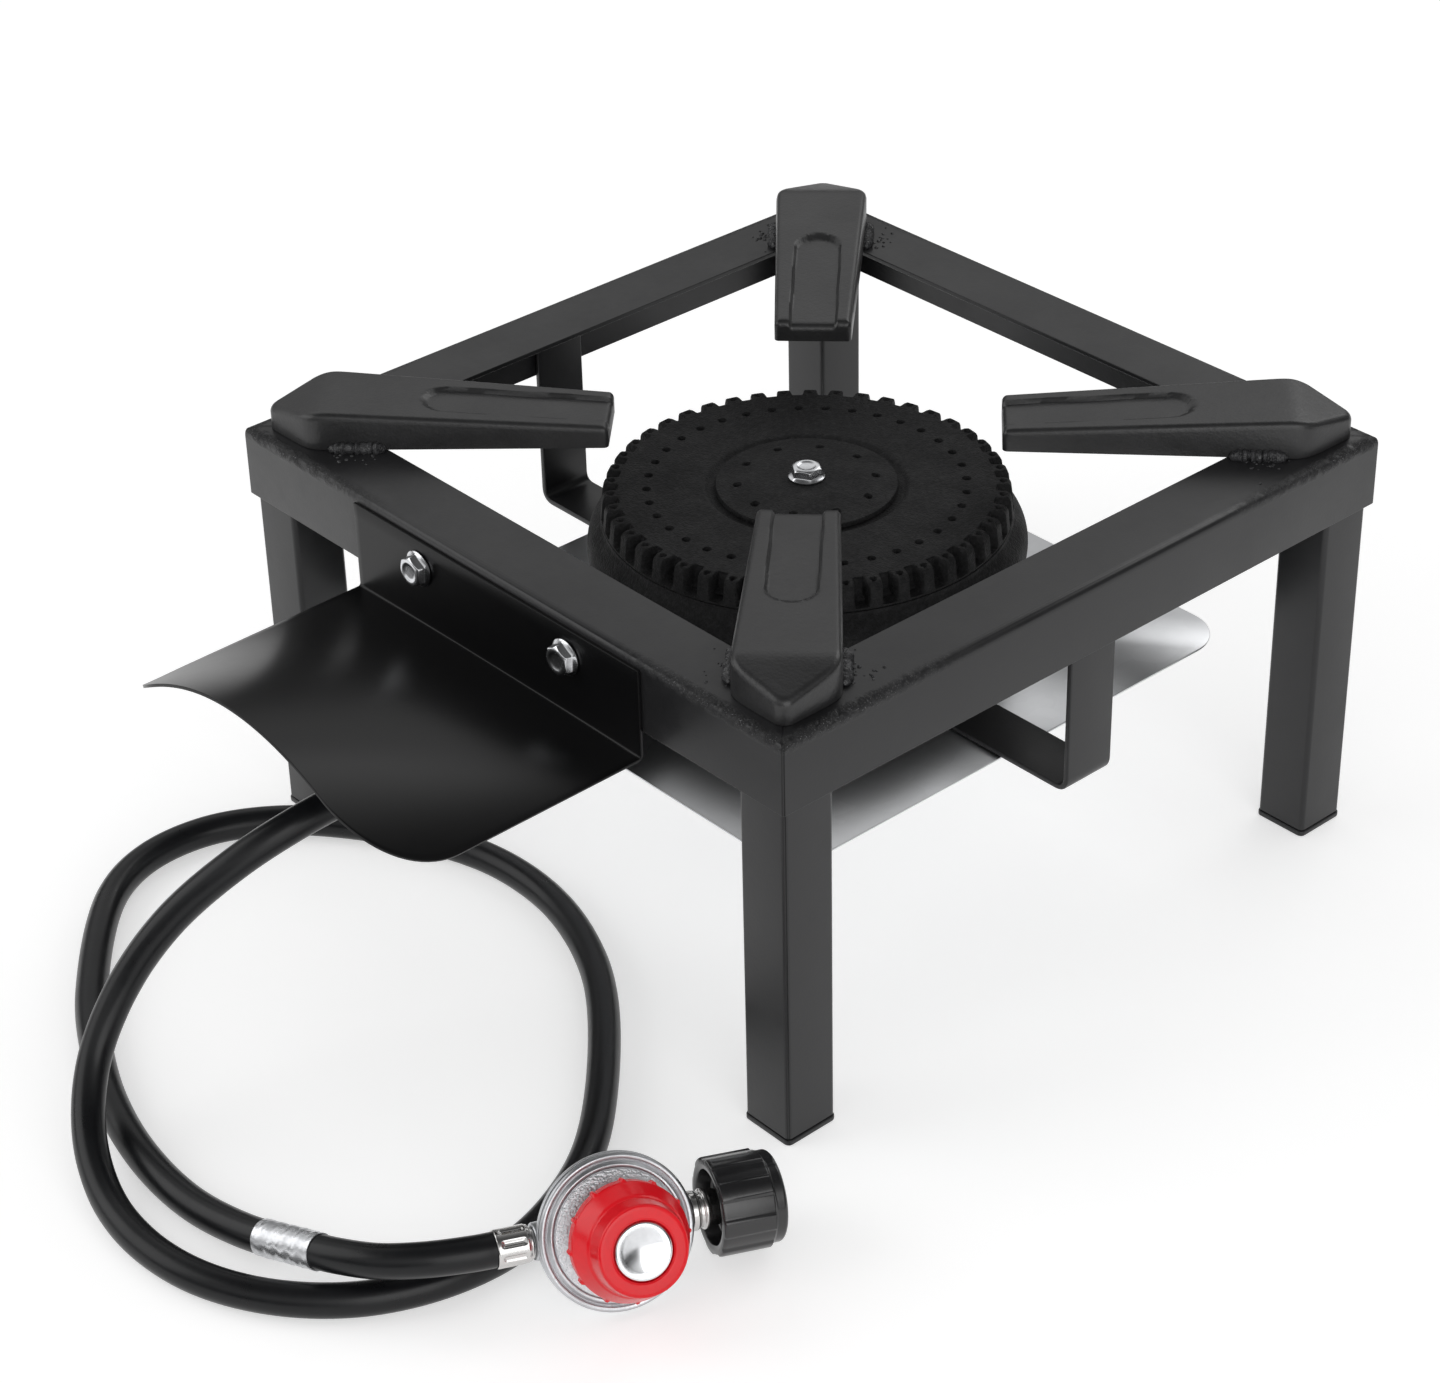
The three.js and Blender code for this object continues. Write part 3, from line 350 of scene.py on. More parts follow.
def grid_faces(rows, columns, close_rows, close_columns):
    """The quads between neighbouring points of a grid that may close on itself either way."""
    i, j = np.meshgrid(
        np.arange(rows if close_rows else rows - 1),
        np.arange(columns if close_columns else columns - 1),
        indexing="ij",
    )
    i2 = (i + 1) % rows
    j2 = (j + 1) % columns
    quads = np.stack([i * columns + j, i2 * columns + j, i2 * columns + j2, i * columns + j2], -1)
    return quads.reshape(-1, 4)


def mesh_of(name, shells):
    """One mesh from (grid, close_rows, close_columns) shells: doubles merged, faces outwards, smooth
    but for sharp edges."""
    points, faces, start = [], [], 0
    for grid, close_rows, close_columns in shells:
        rows, columns = grid.shape[:2]
        points.append(grid.reshape(-1, 3) * MM)
        faces.append(grid_faces(rows, columns, close_rows, close_columns) + start)
        start += rows * columns
    mesh = bpy.data.meshes.new(name)
    mesh.from_pydata(np.concatenate(points), [], np.concatenate(faces))
    work = bmesh.new()
    work.from_mesh(mesh)
    bmesh.ops.remove_doubles(work, verts=work.verts, dist=MERGE)
    bmesh.ops.recalc_face_normals(work, faces=work.faces)
    work.to_mesh(mesh)
    work.free()
    smooth(mesh)
    return mesh


def smooth(mesh):
    mesh.shade_smooth()
    mesh.set_sharp_from_angle(angle=SHARP)


def add_object(name, data):
    """An object with the given data, in the scene."""
    made = bpy.data.objects.new(name, data)
    bpy.context.scene.collection.objects.link(made)
    return made


def add_piece(name, shells, finish_name, *nodes, body="stand"):
    """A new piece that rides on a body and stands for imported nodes."""
    piece = add_object(name, mesh_of(name, shells))
    piece.data.materials.append(finish(finish_name))
    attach(piece, body)
    if nodes:
        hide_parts(*nodes)
    return piece


def modify(piece, kind, **values):
    modifier = piece.modifiers.new(kind.title(), kind)
    for key, value in values.items():
        setattr(modifier, key, value)


def combine(target, tool, operation):
    """Joins a tool object to a target, or cuts it out, and removes the tool."""
    modifier = target.modifiers.new("Combine", "BOOLEAN")
    modifier.object = tool
    modifier.operation = operation
    modifier.solver = "EXACT"
    evaluated = target.evaluated_get(bpy.context.evaluated_depsgraph_get())
    result = bpy.data.meshes.new_from_object(evaluated)
    target.modifiers.clear()
    result.name = target.data.name
    target.data = result
    bpy.data.objects.remove(tool)


def tool_object(*shell):
    """An object for combine(), from one shell."""
    return add_object("tool", mesh_of("tool", [shell]))


def paint(finish_name, *nodes):
    """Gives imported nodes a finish."""
    for node in nodes:
        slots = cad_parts[node].data.materials
        slots.clear()
        slots.append(finish(finish_name))


# ---- Finishes -------------------------------------------------------------------------------------


def add_node(tree, kind, links=None, **settings):
    """A node with its settings; links holds a value or another node's output for each input."""
    made = tree.nodes.new(kind)
    for key, value in settings.items():
        setattr(made, key, value)
    for key, value in (links or {}).items():
        if isinstance(value, bpy.types.NodeSocket):
            tree.links.new(value, made.inputs[key])
        else:
            made.inputs[key].default_value = value
    return made


def math_node(tree, operation, a, b=0.0, clamp=False):
    return add_node(tree, "ShaderNodeMath", {0: a, 1: b}, operation=operation, use_clamp=clamp).outputs[0]


def times(tree, a, b, clamp=False):
    return math_node(tree, "MULTIPLY", a, b, clamp)


def plus(tree, a, b, clamp=False):
    return math_node(tree, "ADD", a, b, clamp)


def minus(tree, a, b, clamp=False):
    return math_node(tree, "SUBTRACT", a, b, clamp)


def vector_math(tree, operation, a, b, output="Vector"):
    return add_node(tree, "ShaderNodeVectorMath", {0: a, 1: b}, operation=operation).outputs[output]


def noise(tree, vector, scale, detail=2.0, rough=0.5):
    links = {"Vector": vector, "Scale": scale, "Detail": detail, "Roughness": rough}
    return add_node(tree, "ShaderNodeTexNoise", links).outputs["Fac"]


def cells(tree, vector, scale, output):
    """Random cells: the Distance to a cell's own point, or the cell's own Color."""
    links = {"Vector": vector, "Scale": scale, "Randomness": 1.0}
    return add_node(tree, "ShaderNodeTexVoronoi", links).outputs[output]


def ramp(tree, value, low, high):
    """0 to 1 while the value goes from low to high, and level outside."""
    links = {"Value": value, "From Min": low, "From Max": high}
    return add_node(tree, "ShaderNodeMapRange", links).outputs[0]


def mix_colour(tree, mask, a, b):
    links = {"Factor": mask, "A": a, "B": b}
    return add_node(tree, "ShaderNodeMix", links, data_type="RGBA").outputs["Result"]


def group_patches(tree, entry):
    """Slow changes of colour and roughness over a surface."""
    slow = noise(tree, entry["Vector"], entry["Scale"], 3.0)
    fine = noise(tree, entry["Vector"], times(tree, entry["Scale"], 9.0), 3.0, 0.6)
    mask = ramp(tree, plus(tree, times(tree, slow, 0.7), times(tree, fine, 0.3)), 0.36, 0.64)
    change = times(tree, minus(tree, mask, 0.5), entry["Spread"])
    return {
        "Color": mix_colour(tree, mask, entry["Color"], entry["Patch Color"]),
        "Roughness": plus(tree, change, entry["Roughness"]),
    }


def group_coat_grain(tree, entry):
    """The fine orange peel of a powder coat, as a height."""
    peel = noise(tree, entry["Vector"], entry["Scale"])
    wave = noise(tree, entry["Vector"], times(tree, entry["Scale"], 0.12), 1.0)
    return {"Height": plus(tree, times(tree, peel, 0.6), wave)}


def group_cast_grain(tree, entry):
    """The pitted skin of a sand casting: a rough noise less round cells, as a height, and a mask of the
    noise's high spots."""
    pits = times(tree, cells(tree, entry["Vector"], entry["Scale"], "Distance"), entry["Pits"])
    rough = noise(tree, entry["Vector"], times(tree, entry["Scale"], 0.45), 4.0, 0.65)
    return {"Height": minus(tree, rough, pits), "Mask": ramp(tree, rough, 0.45, 0.7)}


def group_streaks(tree, entry):
    """Fine lines along one direction, from noise on stretched coordinates."""
    stretched = vector_math(tree, "MULTIPLY", entry["Vector"], entry["Stretch"])
    return {"Height": noise(tree, stretched, entry["Scale"], 4.0, 0.6)}


def group_weld_scale(tree, entry):
    """Crust and specks of weld metal on a square frame, near its outer edge, its top and its corners,
    and the seam of each mitre: a height in millimetres, a mask of bright specks and the crust's band."""
    moved = vector_math(tree, "SUBTRACT", entry["Vector"], entry["Middle"])
    place = add_node(tree, "ShaderNodeSeparateXYZ", {"Vector": moved}).outputs
    x, y = (math_node(tree, "ABSOLUTE", place[axis]) for axis in ("X", "Y"))
    edge = minus(tree, entry["Half"], math_node(tree, "MAXIMUM", x, y))
    corner = minus(tree, entry["Half"], math_node(tree, "MINIMUM", x, y))
    below = minus(tree, entry["Top"], place["Z"])
    near = times(tree, plus(tree, edge, below), 210.0)
    along = math_node(tree, "DIVIDE", corner, entry["Reach"])
    band = minus(tree, 1.35, near, clamp=True)
    band = times(tree, band, minus(tree, 1.6, along, clamp=True), clamp=True)
    band = times(tree, band, ramp(tree, noise(tree, entry["Vector"], 260.0, 3.0), 0.38, 0.58))
    crust = noise(tree, entry["Vector"], 1500.0, 3.0, 0.6)
    off_mitre = math_node(tree, "ABSOLUTE", minus(tree, x, y))
    seam = minus(tree, 1.4, times(tree, off_mitre, 1300.0), clamp=True)
    return {
        "Height": minus(tree, times(tree, times(tree, crust, band), 0.9), seam),
        "Specks": times(tree, ramp(tree, crust, 0.60, 0.68), band),
        "Band": band,
    }


def group_spangle(tree, entry):
    """The crystal flowers of a zinc-dipped sheet: a random level for each cell."""
    bent = times(tree, noise(tree, entry["Vector"], entry["Scale"], 1.0), 0.012)
    cell = cells(tree, vector_math(tree, "ADD", entry["Vector"], bent), entry["Scale"], "Color")
    return {"Level": add_node(tree, "ShaderNodeSeparateColor", {"Color": cell}).outputs[0]}


# What makes each shared group, and its inputs after the vector.
GREY = (0.5, 0.5, 0.5, 1)
GROUPS = {
    "patches": (
        group_patches,
        {"Scale": 20.0, "Color": GREY, "Patch Color": GREY, "Roughness": 0.5, "Spread": 0.1},
    ),
    "coat_grain": (group_coat_grain, {"Scale": 600.0}),
    "cast_grain": (group_cast_grain, {"Scale": 500.0, "Pits": 0.5}),
    "streaks": (group_streaks, {"Stretch": (1.0, 30.0, 30.0), "Scale": 40.0}),
    "weld_scale": (group_weld_scale, {"Middle": (0.0, 0.0, 0.0), "Half": 0.2, "Top": 0.2, "Reach": 0.07}),
    "spangle": (group_spangle, {"Scale": 90.0}),
}
KINDS = {1: "Float", 3: "Vector", 4: "Color"}  # a socket's kind by how many numbers its default holds


def add_group(name):
    """A shader node group with named sockets, from its row in GROUPS."""
    build, inputs = GROUPS[name]
    tree = bpy.data.node_groups.new(name, "ShaderNodeTree")
    for label, default in {"Vector": (0.0, 0.0, 0.0), **inputs}.items():
        kind = "NodeSocket" + KINDS[np.size(default)]
        tree.interface.new_socket(label, in_out="INPUT", socket_type=kind).default_value = default
    results = build(tree, tree.nodes.new("NodeGroupInput").outputs)
    for label, value in results.items():
        kind = "NodeSocketColor" if value.type == "RGBA" else "NodeSocketFloat"
        tree.interface.new_socket(label, in_out="OUTPUT", socket_type=kind)
    add_node(tree, "NodeGroupOutput", results)
    return tree


def use_group(tree, name, links):
    """Places a shared group, and makes it the first time."""
    shared = bpy.data.node_groups.get(name) or add_group(name)
    return add_node(tree, "ShaderNodeGroup", links, node_tree=shared).outputs


def rgba(rgb, gain=1.0):
    return (*(min(1.0, c * gain) for c in rgb), 1.0)


class Finish:
    """A material with one Principled shader, patches of colour and roughness, and a grain."""

    def __init__(self, name, recipe):
        self.recipe = recipe
        self.material = bpy.data.materials.new(name)
        self.material.use_nodes = True
        self.tree = self.material.node_tree
        self.shader = self.tree.nodes["Principled BSDF"]
        self.shader.inputs["Metallic"].default_value = recipe.metallic
        self.shader.inputs["Specular IOR Level"].default_value = recipe.specular
        self.vector = add_node(self.tree, "ShaderNodeTexCoord").outputs["Object"]
        self.rgb = recipe.colour
        if isinstance(self.rgb, str):
            group, key = self.rgb.split(".")
            self.rgb = getattr(getattr(bpy.context.scene, group), key)
        colours = {"Color": rgba(self.rgb), "Patch Color": rgba(self.rgb, recipe.patch)}
        changes = {"Scale": recipe.scale, "Roughness": recipe.roughness, "Spread": recipe.spread}
        self.patches = self.group("patches", {**colours, **changes})
        self.feed("Base Color", self.patches["Color"])
        self.feed("Roughness", self.patches["Roughness"])
        group, links, self.depth = recipe.grain
        self.grain = self.group(group, links)

    def group(self, name, links):
        return use_group(self.tree, name, {"Vector": self.vector, **links})

    def feed(self, socket, value):
        self.tree.links.new(value, self.shader.inputs[socket])

    def bump(self, height, depth):
        """Bump of the given depth in millimetres."""
        links = {"Height": height, "Distance": depth * MM, "Strength": 1.0}
        self.feed("Normal", add_node(self.tree, "ShaderNodeBump", links).outputs["Normal"])

    def lighten(self, mask, rgb, amount):
        """Mixes a colour into the base colour where the mask is high."""
        share = times(self.tree, mask, amount)
        self.feed("Base Color", mix_colour(self.tree, share, self.patches["Color"], rgba(rgb)))


def plain(made):
    """The grain as a bump, and its high spots lighter where the recipe says so."""
    made.bump(made.grain["Height"], made.depth)
    if made.recipe.bright:
        made.lighten(made.grain["Mask"], *made.recipe.bright)


def spangled(made):
    """A plain finish with a spangle a little darker than the sheet."""
    plain(made)
    made.lighten(made.group("spangle", {"Scale": 70.0})["Level"], [c * 0.85 for c in made.rgb], 0.5)


def crusted(made):
    """The grain under a rough crust of weld scale along the frame's outer edges near its corners."""
    sizes = {"Middle": CENTRE * MM, "Half": STAND_HALF * MM, "Top": RAIL_TOP * MM, "Reach": 0.075}
    crust = made.group("weld_scale", sizes)
    made.lighten(crust["Specks"], (0.35, 0.35, 0.36), 0.7)
    rough = times(made.tree, crust["Band"], 0.6)
    made.feed("Roughness", plus(made.tree, made.patches["Roughness"], rough, clamp=True))
    peel = times(made.tree, made.grain["Height"], made.depth)
    made.bump(plus(made.tree, peel, crust["Height"]), 1.0)


@dataclass
class Recipe:
    """What a finish is made of."""

    slot: str  # meant for the pieces that have this finish; nothing reads it
    colour: tuple | str  # or the setting that holds it
    roughness: float
    grain: tuple  # the grain's group, that group's inputs and the depth of the bump in millimetres
    bright: tuple = ()  # the colour of the grain's high spots and its share
    metallic: float = 0.0
    specular: float = 0.5
    patch: float = 1.25  # the patches' colour, as a multiple of the finish's
    spread: float = 0.12  # of the patches' roughness
    scale: float = 25.0  # of the patches
    relief: object = plain  # the function that adds the bump


def plated(slot, rgb, roughness):
    """Bright plated metal with fine turning marks."""
    marks = ("streaks", {"Stretch": (3.0, 3.0, 30.0), "Scale": 60.0}, 0.015)
    return Recipe(slot, rgb, roughness, marks, metallic=1.0, patch=0.84, scale=45.0)


def coat(scale, depth):
    return "coat_grain", {"Scale": scale}, depth


def cast(scale, pits, depth):
    return "cast_grain", {"Scale": scale, "Pits": pits}, depth


RECIPES = {
    "frame_coat": Recipe(
        "frame_coat", "stand.coat", 0.36, coat(700.0, 0.05),
        specular=0.45, patch=1.3, spread=0.10, relief=crusted,
    ),
    "support_coat": Recipe(
        "support_coat", "stand.support_coat", 0.36, cast(600.0, 0.35, 0.14), spread=0.10
    ),
    "guard_coat": Recipe(
        "guard_coat", "stand.guard_coat", 0.30, coat(500.0, 0.012),
        specular=0.22, patch=1.3, spread=0.02, scale=12.0,
    ),
    "shield_sheet": Recipe(
        "shield_sheet", "stand.shield", 0.31,
        ("streaks", {"Stretch": (1.0, 40.0, 1.0), "Scale": 12.0}, 0.006),
        metallic=1.0, patch=0.9, spread=0.015, scale=9.0, relief=spangled,
    ),
    "cast_iron": Recipe(
        "cast_iron", "burner.iron", 0.72, cast(900.0, 0.7, 0.45), ((0.05, 0.05, 0.052), 0.25),
        specular=0.3, patch=1.5, spread=0.2, scale=60.0,
    ),
    "weld": Recipe(
        "frame_coat", "stand.coat", 0.34, cast(900.0, 0.6, 0.5), ((0.10, 0.10, 0.104), 0.5),
        patch=3.0, spread=0.2, scale=300.0,
    ),
    "zinc": plated("zinc_plate", (0.74, 0.75, 0.77), 0.20),
    "cap_plate": plated("zinc_plate", (0.80, 0.81, 0.83), 0.20),
    "brass": plated("brass", (0.63, 0.43, 0.17), 0.26),
    "nickel": plated("crimped_steel", (0.66, 0.65, 0.64), 0.20),
    "spring_steel": plated("spring_steel", (0.56, 0.57, 0.58), 0.28),
    "rubber": Recipe(
        "rubber", "hose.rubber", 0.32, coat(260.0, 0.05),
        specular=0.3, patch=1.35, spread=0.10, scale=30.0,
    ),
    "foil": Recipe(
        "foil", "hose.foil", 0.30, cast(160.0, 0.8, 0.25),
        metallic=0.85, patch=0.86, spread=0.2, scale=120.0,
    ),
    "die_cast": Recipe(
        "die_cast", "regulator.metal", 0.34, cast(900.0, 0.5, 0.05),
        metallic=1.0, patch=0.86, spread=0.16, scale=70.0,
    ),
    "grained_face": Recipe(
        "die_cast", "regulator.metal", 0.42, cast(900.0, 0.9, 0.35), ((0.85, 0.86, 0.9), 0.5),
        metallic=1.0, patch=1.15, spread=0.2, scale=300.0,
    ),
    "red_plastic": Recipe(
        "knob_plastic", "regulator.knob", 0.24, coat(240.0, 0.015),
        specular=0.4, patch=1.12, spread=0.06, scale=40.0,
    ),
    "black_plastic": Recipe(
        "nut_plastic", "regulator.nut", 0.21, coat(300.0, 0.04),
        specular=0.7, patch=1.4, spread=0.08, scale=50.0,
    ),
}
MADE = {}


def finish(name):
    """The named material, made once from its recipe."""
    if name not in MADE:
        made = Finish(name, RECIPES[name])
        made.recipe.relief(made)
        MADE[name] = made.material
    return MADE[name]


# ---- Stand ----------------------------------------------------------------------------------------


def rail_section(settings):
    """The angle's section as (inwards, height) points: two legs, one bend, eased edges."""
    leg, top, low = RAIL_LEG, RAIL_TOP, RAIL_LOW[2]
    wall = settings.rail_wall / MM
    bend = settings.rail_bend / MM
    corners = [(0, low), (0, top), (leg, top), (leg, top - wall), (wall, top - wall), (wall, low)]
    return fillet(corners, [0.5, bend, 0.5, 0.5, bend - wall, 0.5], steps=7, closed=True)


def frame_ring(settings):
    """The four welded rails as one ring: the section carried round a square whose outer corners are
    eased. A point d inwards lies on the corner circle where d is under its radius, and past it on the
    mitre."""
    corner = 1.5
    inwards, height = rail_section(settings).T
    a = (np.arange(4)[:, None] * math.pi / 2 + np.linspace(0, math.pi / 2, 5)).ravel()
    sign = np.repeat([[1, 1], [-1, 1], [-1, -1], [1, -1]], 5, 0)
    outwards = np.column_stack([np.cos(a), np.sin(a)])
    reach = corner - inwards
    xy = sign[:, None] * (STAND_HALF - corner + np.minimum(reach, 0)[None, :, None])
    xy = xy + outwards[:, None] * np.maximum(reach, 0)[None, :, None]
    grid = np.concatenate([xy, np.broadcast_to(height[None, :, None], xy.shape[:2] + (1,))], -1)
    return grid + CENTRE


def leg_tube(low, high):
    """A square tube between two corners of its box: outer wall up, lip, inner wall down, lip."""
    half = (high[0] - low[0]) / 2
    middle = np.append((low[:2] + high[:2]) / 2, 0)
    wall, ease = 2.0, 0.4
    outer, inner = rounded_square(half, 2.6), rounded_square(half - wall, 0.9)
    rows = [
        (outer, ease, low[2]), (outer, 0, low[2] + ease), (outer, 0, high[2] - ease), (outer, ease, high[2]),
        (inner, 0, high[2]), (inner, 0, low[2]),
    ]
    return np.stack([level(loop(inset), z) for loop, inset, z in rows]) + middle


# A pot support, along the frame's diagonal from the burner's axis.
SUPPORT = {"inner": 97, "shoulder": 240, "nose": 268, "narrow": 20, "wide": 25, "tip": 6.5, "ease": 2.5}
SUPPORT_TOP = {"inner": 238.5, "shoulder": 247, "nose": 239.5}
CHANNEL = {"half": 12, "end": 190, "flank": 1.9}
FAR = 99  # more than any distance across a support


def support_stations():
    """Places r along a support: crowded by a cosine over the round inner end, even along the bar, and
    by a sine round the nose."""
    s = SUPPORT
    middle = s["nose"] - s["tip"]
    first = s["inner"] + s["ease"] * (1 - np.cos(np.linspace(0, math.pi / 2, 9)))
    bar = np.linspace(s["inner"] + s["ease"], s["shoulder"] - 8, 70)[1:]
    ridge = np.linspace(s["shoulder"] - 8, middle + s["tip"] / math.sqrt(2), 50)[1:]
    nose = middle + s["tip"] * np.sin(np.linspace(math.pi / 4, math.pi / 2, 12))[1:]
    return np.concatenate([first, bar, ridge, nose])


def soft_least(a, b, soft):
    """The lesser of a and b with a round passage: -soft log(exp(-a / soft) + exp(-b / soft))."""
    return -soft * np.log(np.exp(-a / soft) + np.exp(-b / soft))


def support_outline(r):
    """Half-width at r: a bar that widens, met by 45 degree sides and a round nose, with round corners
    at the inner end."""
    s = SUPPORT
    bar = np.interp(r, [s["inner"], s["shoulder"]], [s["narrow"], s["wide"]])
    middle = s["nose"] - s["tip"]
    slant = np.maximum(middle + s["tip"] * math.sqrt(2) - r, 0)
    width = soft_least(bar, slant, 2.6)
    nose = np.sqrt(np.maximum(s["tip"] ** 2 - np.maximum(r - middle, 0) ** 2, 0))
    width = np.where(r > middle + s["tip"] / math.sqrt(2) - 1e-6, np.minimum(slant, nose), width)
    into = np.clip(r - s["inner"], 0, s["ease"])
    return width - s["ease"] + np.sqrt(np.maximum(s["ease"] ** 2 - (s["ease"] - into) ** 2, 0))


def support_inside(r, y, width):
    """Distance from the outline: the least of the distances to the sides, the slanted sides or the
    nose's circle, and the inner end with its round corners."""
    s = SUPPORT
    middle = s["nose"] - s["tip"]
    slant = (middle + s["tip"] * math.sqrt(2) - r - np.abs(y)) / math.sqrt(2)
    nose = s["tip"] - np.hypot(r - middle, y)
    ahead = np.where(r - middle > np.abs(y), nose, slant)
    side = np.interp(r, [s["inner"], s["shoulder"]], [s["narrow"], s["wide"]]) - np.abs(y)
    over = np.maximum(s["ease"] - side, 0)
    into = np.maximum(s["ease"] - (r - s["inner"]), 0)
    corner = np.where((over > 0) & (into > 0), s["ease"] - np.hypot(over, into), FAR)
    near = np.minimum(np.minimum(width - np.abs(y), ahead), np.minimum(r - s["inner"], corner))
    return np.maximum(near, 0)


def support_height(r):
    """Height of the top: rising to the shoulder, then falling to the nose, with a soft ridge."""
    s, top = SUPPORT, SUPPORT_TOP
    rise = (r - s["shoulder"]) * (top["shoulder"] - top["inner"]) / (s["shoulder"] - s["inner"])
    fall = (s["shoulder"] - r) * (top["shoulder"] - top["nose"]) / (s["nose"] - s["shoulder"])
    return top["shoulder"] + soft_least(rise, fall, 0.7)


def support_shell(settings, angle):
    """Closed loops across the bar at stations along it: over the top, which is the height less a
    quarter-round drop near the outline and the channel, and back along the flat underside."""
    edge = settings.support_edge / MM
    depth = settings.channel_depth / MM
    r = support_stations()
    even = np.linspace(-1, 1, 57)
    v = 0.45 * np.sin(even * math.pi / 2) + 0.55 * even
    width = support_outline(r)
    y = v[None] * width[:, None]
    rr = np.broadcast_to(r[:, None], y.shape)
    inside = np.minimum(support_inside(rr, y, width[:, None]), edge)
    drop = edge - np.sqrt(edge**2 - (edge - inside) ** 2)
    round_end = np.hypot(np.maximum(rr - (CHANNEL["end"] - CHANNEL["half"]), 0), y)
    sunk = smooth_step((CHANNEL["half"] - round_end) / CHANNEL["flank"] + 0.5) * depth
    top = np.stack([rr, y, support_height(rr) - drop - sunk], -1)
    under = np.stack([rr, y, np.full_like(y, RAIL_TOP + 0.3)], -1)[:, ::-1]
    loops = np.concatenate([top, under], 1)
    flat = loops[:1].copy()
    flat[..., 2] = (RAIL_TOP + SUPPORT_TOP["inner"]) / 2
    return about_z(np.concatenate([flat, loops]), angle)


def weld_bead(start, end, radius, seed):
    """A bead along a line: half-buried round sections whose radius swells with each drop of metal."""
    random = np.random.default_rng(seed)
    count = 46
    t = np.linspace(0, 1, count)
    path = start + (end - start) * t[:, None]
    swell = 0.8 + 0.2 * np.abs(np.sin(t * math.pi * 9)) + 0.07 * random.standard_normal(count)
    swell *= np.sqrt(np.clip(np.sin(math.pi * t) * 2.2, 0.02, 1))
    section = circle(radius, 12)[None] * swell[:, None, None]
    return capped(sweep(path, section))


def weld_spatter(centre, spread, count, seed):
    """Small drops of metal, one low dome each, wherever they land on the rail's flat top."""
    random = np.random.default_rng(seed)
    a = np.linspace(0, math.pi, 7)
    inner = STAND_HALF - RAIL_LEG + 1.5
    drops = []
    for place, size in zip(random.normal(0, spread, (count, 2)), random.uniform(0.4, 1.15, count)):
        spot = centre[:2] + place
        if inner < np.abs(spot - CENTRE[:2]).max() < STAND_HALF - 5:
            drop = revolve(size * np.sin(a), -size * 0.6 * np.cos(a), 9)
            drops.append(drop + np.array([*spot, RAIL_TOP + 0.1]))
    return drops


def strap_shell():
    """The flat bar: a rounded rectangle carried along a U with two bends."""
    half_t = 1.5
    half_w = (STRAP_HIGH[1] - STRAP_LOW[1]) / 2
    x = STRAP_HIGH[0] - half_t
    low = STRAP_LOW[2] + half_t
    corners = [(-x, STRAP_HIGH[2]), (-x, low), (x, low), (x, STRAP_HIGH[2])]
    line = fillet(corners, 7.0, steps=10)
    path = np.column_stack([line[:, 0], np.full(len(line), STAND_Y), line[:, 1]])
    section = [(-half_w, -half_t), (half_w, -half_t), (half_w, half_t), (-half_w, half_t)]
    keep = np.append(True, np.linalg.norm(np.diff(path, axis=0), axis=1) > 1e-6)
    rounded = fillet(section, 0.9, steps=4, closed=True)[:, ::-1]
    return capped(sweep(path[keep], rounded[None], reference=(0, 1, 0)))


GUARD = {"width": 212.0, "thick": 1.5, "root": 174.0, "corner": 42.0}


def guard_sheet(settings):
    """The guard's middle surface over (s, x): s runs down the flange, round the bend and out along the
    tongue, x across. The free corners are round. The tongue lifts in step with s, by the rise less the
    arch times the square of x over half the width."""
    bend = settings.guard_bend / MM
    arch, rise = settings.guard_arch / MM, settings.guard_rise / MM
    thick, corner, width = GUARD["thick"], GUARD["corner"], GUARD["width"]
    face = GUARD_HIGH[1] - thick / 2
    top = GUARD_HIGH[2]
    radius = bend - thick / 2
    flange = top - GUARD["root"] - thick / 2 - radius
    turn = math.pi / 2 * radius
    tongue = face - radius - GUARD_LOW[1]
    total = flange + turn + tongue
    rows = [
        np.linspace(0, flange, 6, endpoint=False),
        np.linspace(flange, flange + turn, 12, endpoint=False),
        np.linspace(flange + turn, total - corner, 30, endpoint=False),
        total - corner + corner * np.sin(np.linspace(0, math.pi / 2, 22)),
    ]
    s = np.concatenate(rows)[:, None]
    past = np.maximum(s - (total - corner), 0)
    half = width / 2 - corner + np.sqrt(np.maximum(corner**2 - past**2, 0))
    x = np.linspace(-1, 1, 61)[None] * half
    angle = np.clip((s - flange) / radius, 0, math.pi / 2)
    out = np.maximum(s - flange - turn, 0)
    share = np.clip((s - flange) / (turn + tongue), 0, 1)
    y = face - radius * (1 - np.cos(angle)) - out
    z = top - np.minimum(s, flange) - radius * np.sin(angle)
    lift = share * (rise - arch * (2 * x / width) ** 2)
    return np.stack([x, np.broadcast_to(y, x.shape), z + lift], -1)


def hex_radius(across, sides):
    """Distance from the axis to a hexagon's side in each direction."""
    a = angles(sides)
    return across / 2 / np.cos((a + math.pi / 6) % (math.pi / 3) - math.pi / 6)


def revolve_rows(rows, sides):
    """Rows of (radius, height) turned round Z, where each is a number or changes with the angle."""
    radius, height = (
        np.concatenate([np.broadcast_to(row[k], (sides, 1)) for row in rows], 1) for k in (0, 1)
    )
    return revolve(radius, height, sides)


def thread_rows(radius, depth, z, pitch, sides):
    """Rows of a helical thread, whose radius goes with the cosine of 2 pi z / pitch less the angle."""
    thread = radius + depth * np.cos(TURN * z[None] / pitch - angles(sides))
    return [(thread[:, k : k + 1], height) for k, height in enumerate(z)]


BOLT_HEAD = 6.2  # height of a bolt's head with its flange
PITCH = 1.25  # of the M8 threads
GUARD_SHANK = 16.0  # length of the guard's bolts under the head


